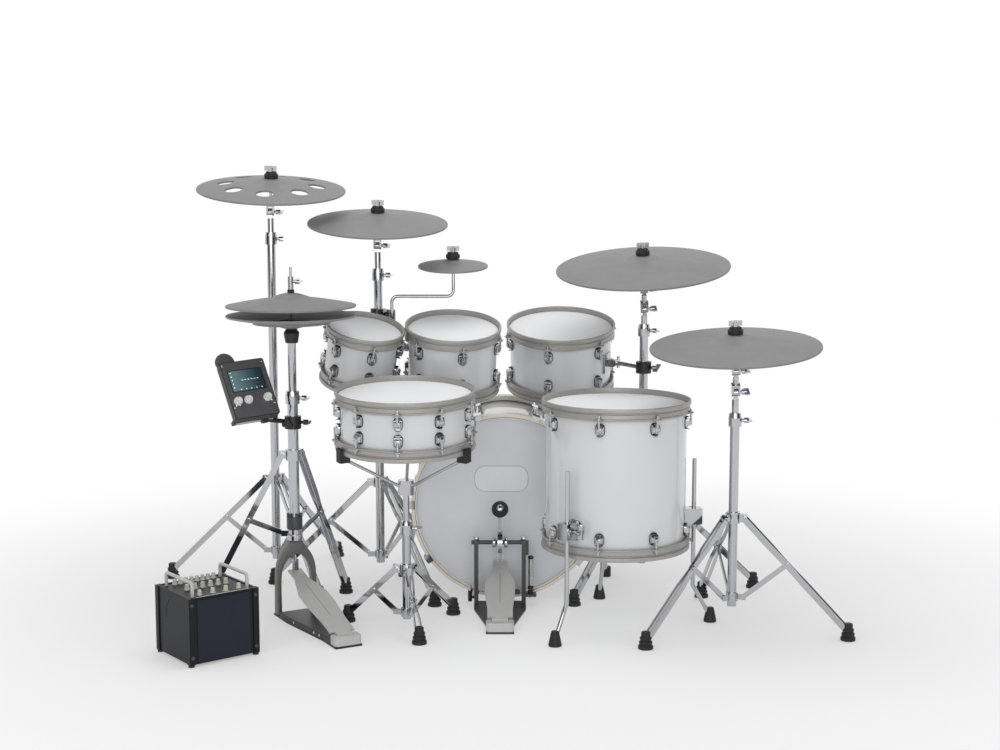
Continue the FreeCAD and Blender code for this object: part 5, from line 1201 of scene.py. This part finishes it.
# Height, outer and inner half width, and depth of the yoke's sections
YOKE_ROWS = ((4.8, 59, 46, 30), (100, 59, 46, 26), (130, 57.5, 43, 26), (148, 54, 36, 27), (162, 49, 26, 28),
             (172, 44, 12, 29), (175, 42.5, 0, 30), (193, 29, 0, 32), (204, 21, 0, 34), (212, 19, 0, 34))


def hihat_yoke():
    """Cast arch: straight legs that lean in over a round opening to a narrow neck under the tube."""
    half = swept("yoke", [((out + inner) / 2, z, out - inner, deep) for z, out, inner, deep in YOKE_ROWS])
    without(half, lambda spot, normal: abs(normal.x) > 0.9 and abs(spot.x) < 0.1 * MM)
    with_modifier(half, "MIRROR", use_axis=(True, False, False), use_clip=True, merge_threshold=0.05 * MM)
    softened(tidy(half), 4 * MM, 3, 40)
    return coated(smooth(half, 50), YOKE)


def base_rails():
    """Black side rails of the base that spread towards the toe, with bolts along one of them."""
    rail = swept("base_rail", [(35.5, 0, 5, 14), (35.5, 52, 5, 14), (56, 255, 5, 14), (56, 313, 5, 14)])
    with_modifier(rail, "MIRROR", use_axis=(True, False, False))
    bolt = settle(dome("bolt", 3.5, 1.6), turn(-90, "Y"))
    bolts = spread(bolt, *[at(-38.5 - 0.101 * (y - 52), 0, y) for y in (70, 100, 215)])
    bolts = coated(joined("rail_bolts", bolts), BRIGHT)
    rails = joined("base_rails", [coated(crisp(rail, 1.2 * MM), NYLON), bolts])
    return settle(rails, HIHAT @ at(0, -335, 11.8) @ turn(-90, "X"))


def hihat_stand():
    """Chrome tubes and legs, cast yoke, black base with side rails, grey heel, and a toothed lock sleeve."""
    back = HIHAT.inverted()

    def zone(spot):
        x, y, z = (back @ (spot * MM)) / MM
        if z < PLATE_TOP or SEAT_LOW < z < SEAT_HIGH:
            return 1
        if z < HEEL_TOP and y < HEEL_END or z < YOKE_TOP and abs(x) < YOKE_HALF and abs(y) < YOKE_DEEP:
            return None
        return 0

    body = body_of("hihat_stand")
    zoned("hihat_stand", (CHROME, NYLON), zone)
    dressed(settle(hihat_yoke(), HIHAT), body)
    dressed(heel_plate(30, HIHAT @ at(*HAT_HEEL)), body)
    dressed(base_rails(), body)
    ring = lathed_ring("ring", [(TUBE_R, 222), (TUBE_R, 231), (22, 231), (22, 213), (TUBE_R, 213),
                                (TUBE_R, 222)], 2, 48)
    dressed(coated(settle(ring, HIHAT), CHROME), body)
    sleeve = lathed_ring("sleeve", [(TUBE_R, 262), (TUBE_R, 280), (22, 280), (22, 245), (TUBE_R, 245),
                                    (TUBE_R, 262)], 1.5, 48)
    tooth = softened(block("tooth", Vector((5, 9, 14)) * MM, Vector((19, 0, 283)) * MM), 1.2 * MM)
    teeth = spread(tooth, *[turn(30 + 60 * k, "Z") for k in range(6)])
    lock = settle(joined("lock_sleeve", [sleeve] + teeth), HIHAT)
    dressed(coated(smooth(lock), DARK_CAST), body)


def lobed_knob(name, lobes, reach, radius, deep):
    """Moulded hand knob: round lobes about a hub, its back on the ground plane."""
    lobe = barrel("lobe", radius, 0, deep, 2.5, 24)
    petals = spread(lobe, *[turn(360 * k / lobes, "Z") @ at(0, reach) for k in range(lobes)])
    return joined(name, [barrel("hub", reach, 0, deep, 2.5, 32)] + petals)


def hihat_fittings():
    """Black felt under the clutch and a lobed knob on the module's clamp."""
    top = node_points("hihat_top")[:, 2].max()
    felt = lathed("clutch_felt", [(4, 0), (10, 0), (9, 9), (4, 9)], 2, 32)
    settle(felt, at(HIHAT_X, 0) @ Matrix.Translation((0, 0, top)))
    dressed(coated(felt, RUBBER), body_of("hihat_rod"))
    clamp = node_points("module_clamp")
    level = clamp[np.hypot(clamp[:, 0] - HIHAT_X * MM, clamp[:, 1]) < 25 * MM][:, 2].mean()
    knob = lobed_knob("clamp_knob", 3, 10, 6.5, 13)
    facing = turn(-12, "Z") @ at(-8, -17) @ turn(90, "X")
    settle(knob, at(HIHAT_X, 0) @ Matrix.Translation((0, 0, level)) @ facing)
    dressed(coated(smooth(knob), NYLON), body_of("module_clamp"))


# Sound module, in the frame of its front: X to its right, Y up along it, Z out of it
MODULE = at(-683, -62, 650) @ turn(28.6, "Z") @ turn(56.4, "X") @ turn(4.6, "Z")
CASE_DEEP = 24
ROD_Y, ROD_Z, ROD_HALF = -80, -41, 65
FIN_PLACE = (-40, 92.7, -20)
SCREEN_UP = 26
MODULE_CAP = [(12, 0), (12, 5), (10.4, 6), (10, 12), (7, 12), (5.5, 11.2), (2, 11.2)]


def module_case():
    """Black case with a dark front, a fin at its top and a chrome cross rod behind its foot."""
    case = settle(plate("case", 130, 172, CASE_DEEP, 7), at(0, 0, -CASE_DEEP))
    ear = crisp(block("ear", Vector((10, 10, 22)) * MM), 1.0 * MM)
    ears = spread(ear, at(-60, ROD_Y, -33), at(60, ROD_Y, -33))
    black = coated(joined("module_shell", [case] + ears), NYLON)
    front = settle(plate("front", 126, 168, 0.8, 6), at(0, 0, -0.2))
    lower = settle(plate("lower_plate", 124, 31, 1.0, 2), at(0, -67))
    fin = settle(barrel("fin", 27.3, 0, 8, 1.2), at(*FIN_PLACE))
    grey = coated(joined("module_front", [front, lower, fin]), MODULE_GREY, NYLON)
    painted_where(grey, 1, lambda spot, normal: spot.y > 86 * MM and abs(normal.z) < 0.7)
    rod = barrel("rod", 5, -ROD_HALF, ROD_HALF, 1, SMALL_ROUND)
    settle(rod, at(0, ROD_Y, ROD_Z) @ turn(90, "Y"))
    whole = settle(joined("module_case_finish", [black, grey, coated(rod, CHROME)]), MODULE)
    dressed(whole, body_of("module_case"), "module_case")


def module_front():
    """Bezel, lit screen, small lamps and marks, and screws."""
    body = body_of("module_case")
    bezel = settle(plate("bezel", 100, 66, 0.6, 2), MODULE @ at(0, SCREEN_UP, 0.5))
    dressed(coated(bezel, NYLON), body)
    screen = plate("screen", 95, 61, 0.6, 1.5)
    flat_map(screen)
    dressed(coated(settle(screen, MODULE @ at(0, SCREEN_UP, 0.8)), SCREEN), body)
    spots = [(-42, 51 - 11 * k, 1.3) for k in range(5)] + [(-24 + 15 * k, -0.5, 1.3) for k in range(5)]
    spots += [(-52, -46, 0.5), (-42, -46, 0.5), (52, -44, 0.5)]
    lamps = spread(button("dot", 1.6, 0.5, 0.15), *[MODULE @ at(*spot) for spot in spots])
    dash = block("dash", Vector((5, 1.6, 0.4)) * MM)
    dashes = spread(dash, *[MODULE @ at(-14 + 9 * k, 27, 1.5) for k in range(6)])
    dressed(coated(joined("lit_marks", lamps + dashes), LIT), body)
    screws = spread(dome("screw", 3, 1.2), *[MODULE @ at(x, y, 0.5) for x in (-58, 58) for y in (76, -52)])
    dressed(coated(joined("front_screws", screws), BRIGHT), body)


def module_knob(node):
    """Silver knob with a dark mark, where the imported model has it."""
    low, high = box_in(node_points(node), MODULE)
    x, y = ((low + high) / 2)[:2]
    cap = lathed("knob", MODULE_CAP, 1.2, 48, tipped=True)
    mark = block("mark", Vector((1.2, 4, 0.6)) * MM, Vector((0, 8.2, 12)) * MM)
    knob = joined(node + "_cap", [coated(cap, SILVER), coated(mark, NYLON)])
    dressed(settle(knob, MODULE @ Matrix.Translation((x, y, low[2]))), body_of(node), node)


# Amplifier box, from its front left corner
BOX = at(-780, -504) @ turn(37.7, "Z")
BOX_WIDE, BOX_DEEP, BOX_TOP = 200, 188, 178
BOX_FOOT = 6
PANEL_IN, PANEL_UP = 3, 90
BOLT_IN = 9
HANDLE_IN, HANDLE_END, HANDLE_NEAR = 22, 16, 8
# Painted shade: section and place of a black strip that stands for the shade in an arc-shaped groove
ARC_GROOVE_SHADE_SECTION = ((70, 0), (72.4, 0), (72.4, 0.6), (70, 0.6))
ARC_GROOVE_SHADE_PLACE = (3, 64, 104)
KNOB_ROWS = ((26, 4), (94, 6), (162, 8))
KNOB_START, KNOB_RUN = 44, 112
BOX_KNOB = [(7.2, 0), (7.2, 3), (6, 4), (5, 15), (1.5, 15)]


def box_case():
    """Dark case on rubber feet with grey bar handles; the deck and the knobs are modelled afresh."""
    back = BOX.inverted()

    def zone(spot):
        x, y, z = (back @ (spot * MM)) / MM
        if z < BOX_FOOT:
            return 1
        near_bar = min(abs(x - HANDLE_IN), abs(x - BOX_WIDE + HANDLE_IN)) < HANDLE_NEAR
        near_end = min(abs(y - HANDLE_END), abs(y - BOX_DEEP + HANDLE_END)) < HANDLE_NEAR
        return 2 if near_bar and (z > BOX_TOP + 0.5 or z > BOX_TOP - 9.5 and near_end) else 0

    zoned("amplifier_box", (CASE, RUBBER, CAST), zone, 1.0 * MM,
          replaced=lambda low, high: low[2] > BOX_TOP - 13 and high[2] < BOX_TOP + 12)


def box_sides():
    """Navy panels with bolts at front and back, and on the left side a black quarter-arc strip that is painted
    shade of an arc-shaped groove.
    """
    body = body_of("amplifier_box")
    upright = turn(90, "X")
    front = plate("front_panel", 152, 162, 1.6, 2)
    panels = spread(front, BOX @ at(BOX_WIDE / 2, PANEL_IN, PANEL_UP) @ upright,
                    BOX @ at(BOX_WIDE / 2, BOX_DEEP - PANEL_IN, PANEL_UP) @ turn(180, "Z") @ upright)
    dressed(coated(joined("navy_panels", panels), NAVY), body)
    bolts = spread(dome("bolt", 5, 2.6), *[BOX @ at(x, y, z) @ turn(facing, "Z") @ upright
                                           for y, facing in ((0, 0), (BOX_DEEP, 180))
                                           for x in (BOLT_IN, BOX_WIDE - BOLT_IN) for z in (24, 160)])
    dressed(coated(joined("panel_bolts", bolts), DARK_CAST), body)
    # Painted shade: a black strip on the left side where the shade of an arc-shaped groove falls; no groove is
    # cut
    arc = turned("arc", in_metres(ARC_GROOVE_SHADE_SECTION), 96, closed=True)
    in_edit(arc)
    for normal in (X_AXIS, Y_AXIS):
        bpy.ops.mesh.bisect(plane_co=(0, 0, 0), plane_no=normal, clear_inner=True)
        bpy.ops.mesh.select_all(action="SELECT")
    bpy.ops.mesh.fill_holes(sides=0)
    out_of_edit()
    leftwards = Matrix(((0, 0, -1, 0), (1, 0, 0, 0), (0, 1, 0, 0), (0, 0, 0, 1)))
    dressed(coated(settle(tidy(arc), BOX @ at(*ARC_GROOVE_SHADE_PLACE) @ leftwards), RUBBER), body)


def box_deck():
    """Black deck with a pale strip at its front edge and rows of pale knobs, the first on coloured bases."""
    body = body_of("amplifier_box")
    deck = settle(plate("deck", 180, 168, 8, 3), BOX @ at(BOX_WIDE / 2, BOX_DEEP / 2, BOX_TOP - 10))
    dressed(coated(deck, CASE), body)
    strip = settle(plate("edge_strip", 150, 3, 1.2, 0.6), BOX @ at(BOX_WIDE / 2, 5.5, BOX_TOP - 0.3))
    dressed(coated(strip, CAP), body)
    places = [BOX @ at(KNOB_START + KNOB_RUN * k / (count - 1), y, BOX_TOP - 2)
              for y, count in KNOB_ROWS for k in range(count)]
    knobs = spread(lathed("knob", BOX_KNOB, 1.2, 24, tipped=True), *places)
    dressed(coated(joined("deck_knobs", knobs), CAP), body)
    bases = spread(button("base", 8.5, 1.6), *places[:KNOB_ROWS[0][1]])
    for base, finish in zip(bases, (GREEN, TEAL, YELLOW, RED)):
        coated(base, finish)
    dressed(joined("coloured_bases", bases), body)


floor()
studio()
camera()

for drum in ("snare", "tom1", "tom2", "tom3", "floor_tom"):
    metal_hooped_drum(drum)
kick_drum()
cymbal("crash_left", vents=8)
for pad in ("crash_middle", "ride", "crash_right"):
    cymbal(pad)
cymbal("splash", bell=SPLASH_BELL_R)
cymbal("hihat_top", bell=HAT_BELL_R, bell_high=HAT_BELL_HIGH, puck=False)
cymbal("hihat_bottom", -UP, bell=HAT_BELL_R, bell_high=HAT_BELL_HIGH, puck=False, ring=True)
cymbal_stands()
tom_holders()
rubber_feet()
hihat_stand()
hihat_fittings()
kick_pedal_frame()
kick_beater()
pedal_board("kick_footboard", Matrix.Identity(4), KICK_HEEL, KICK_TOE)
pedal_board("hihat_footboard", HIHAT, HAT_HEEL, HAT_TOE)
module_case()
module_front()
for number in (1, 2, 3):
    module_knob("module_knob_%d" % number)
eased("module_clamp", NYLON)
box_case()
box_sides()
box_deck()
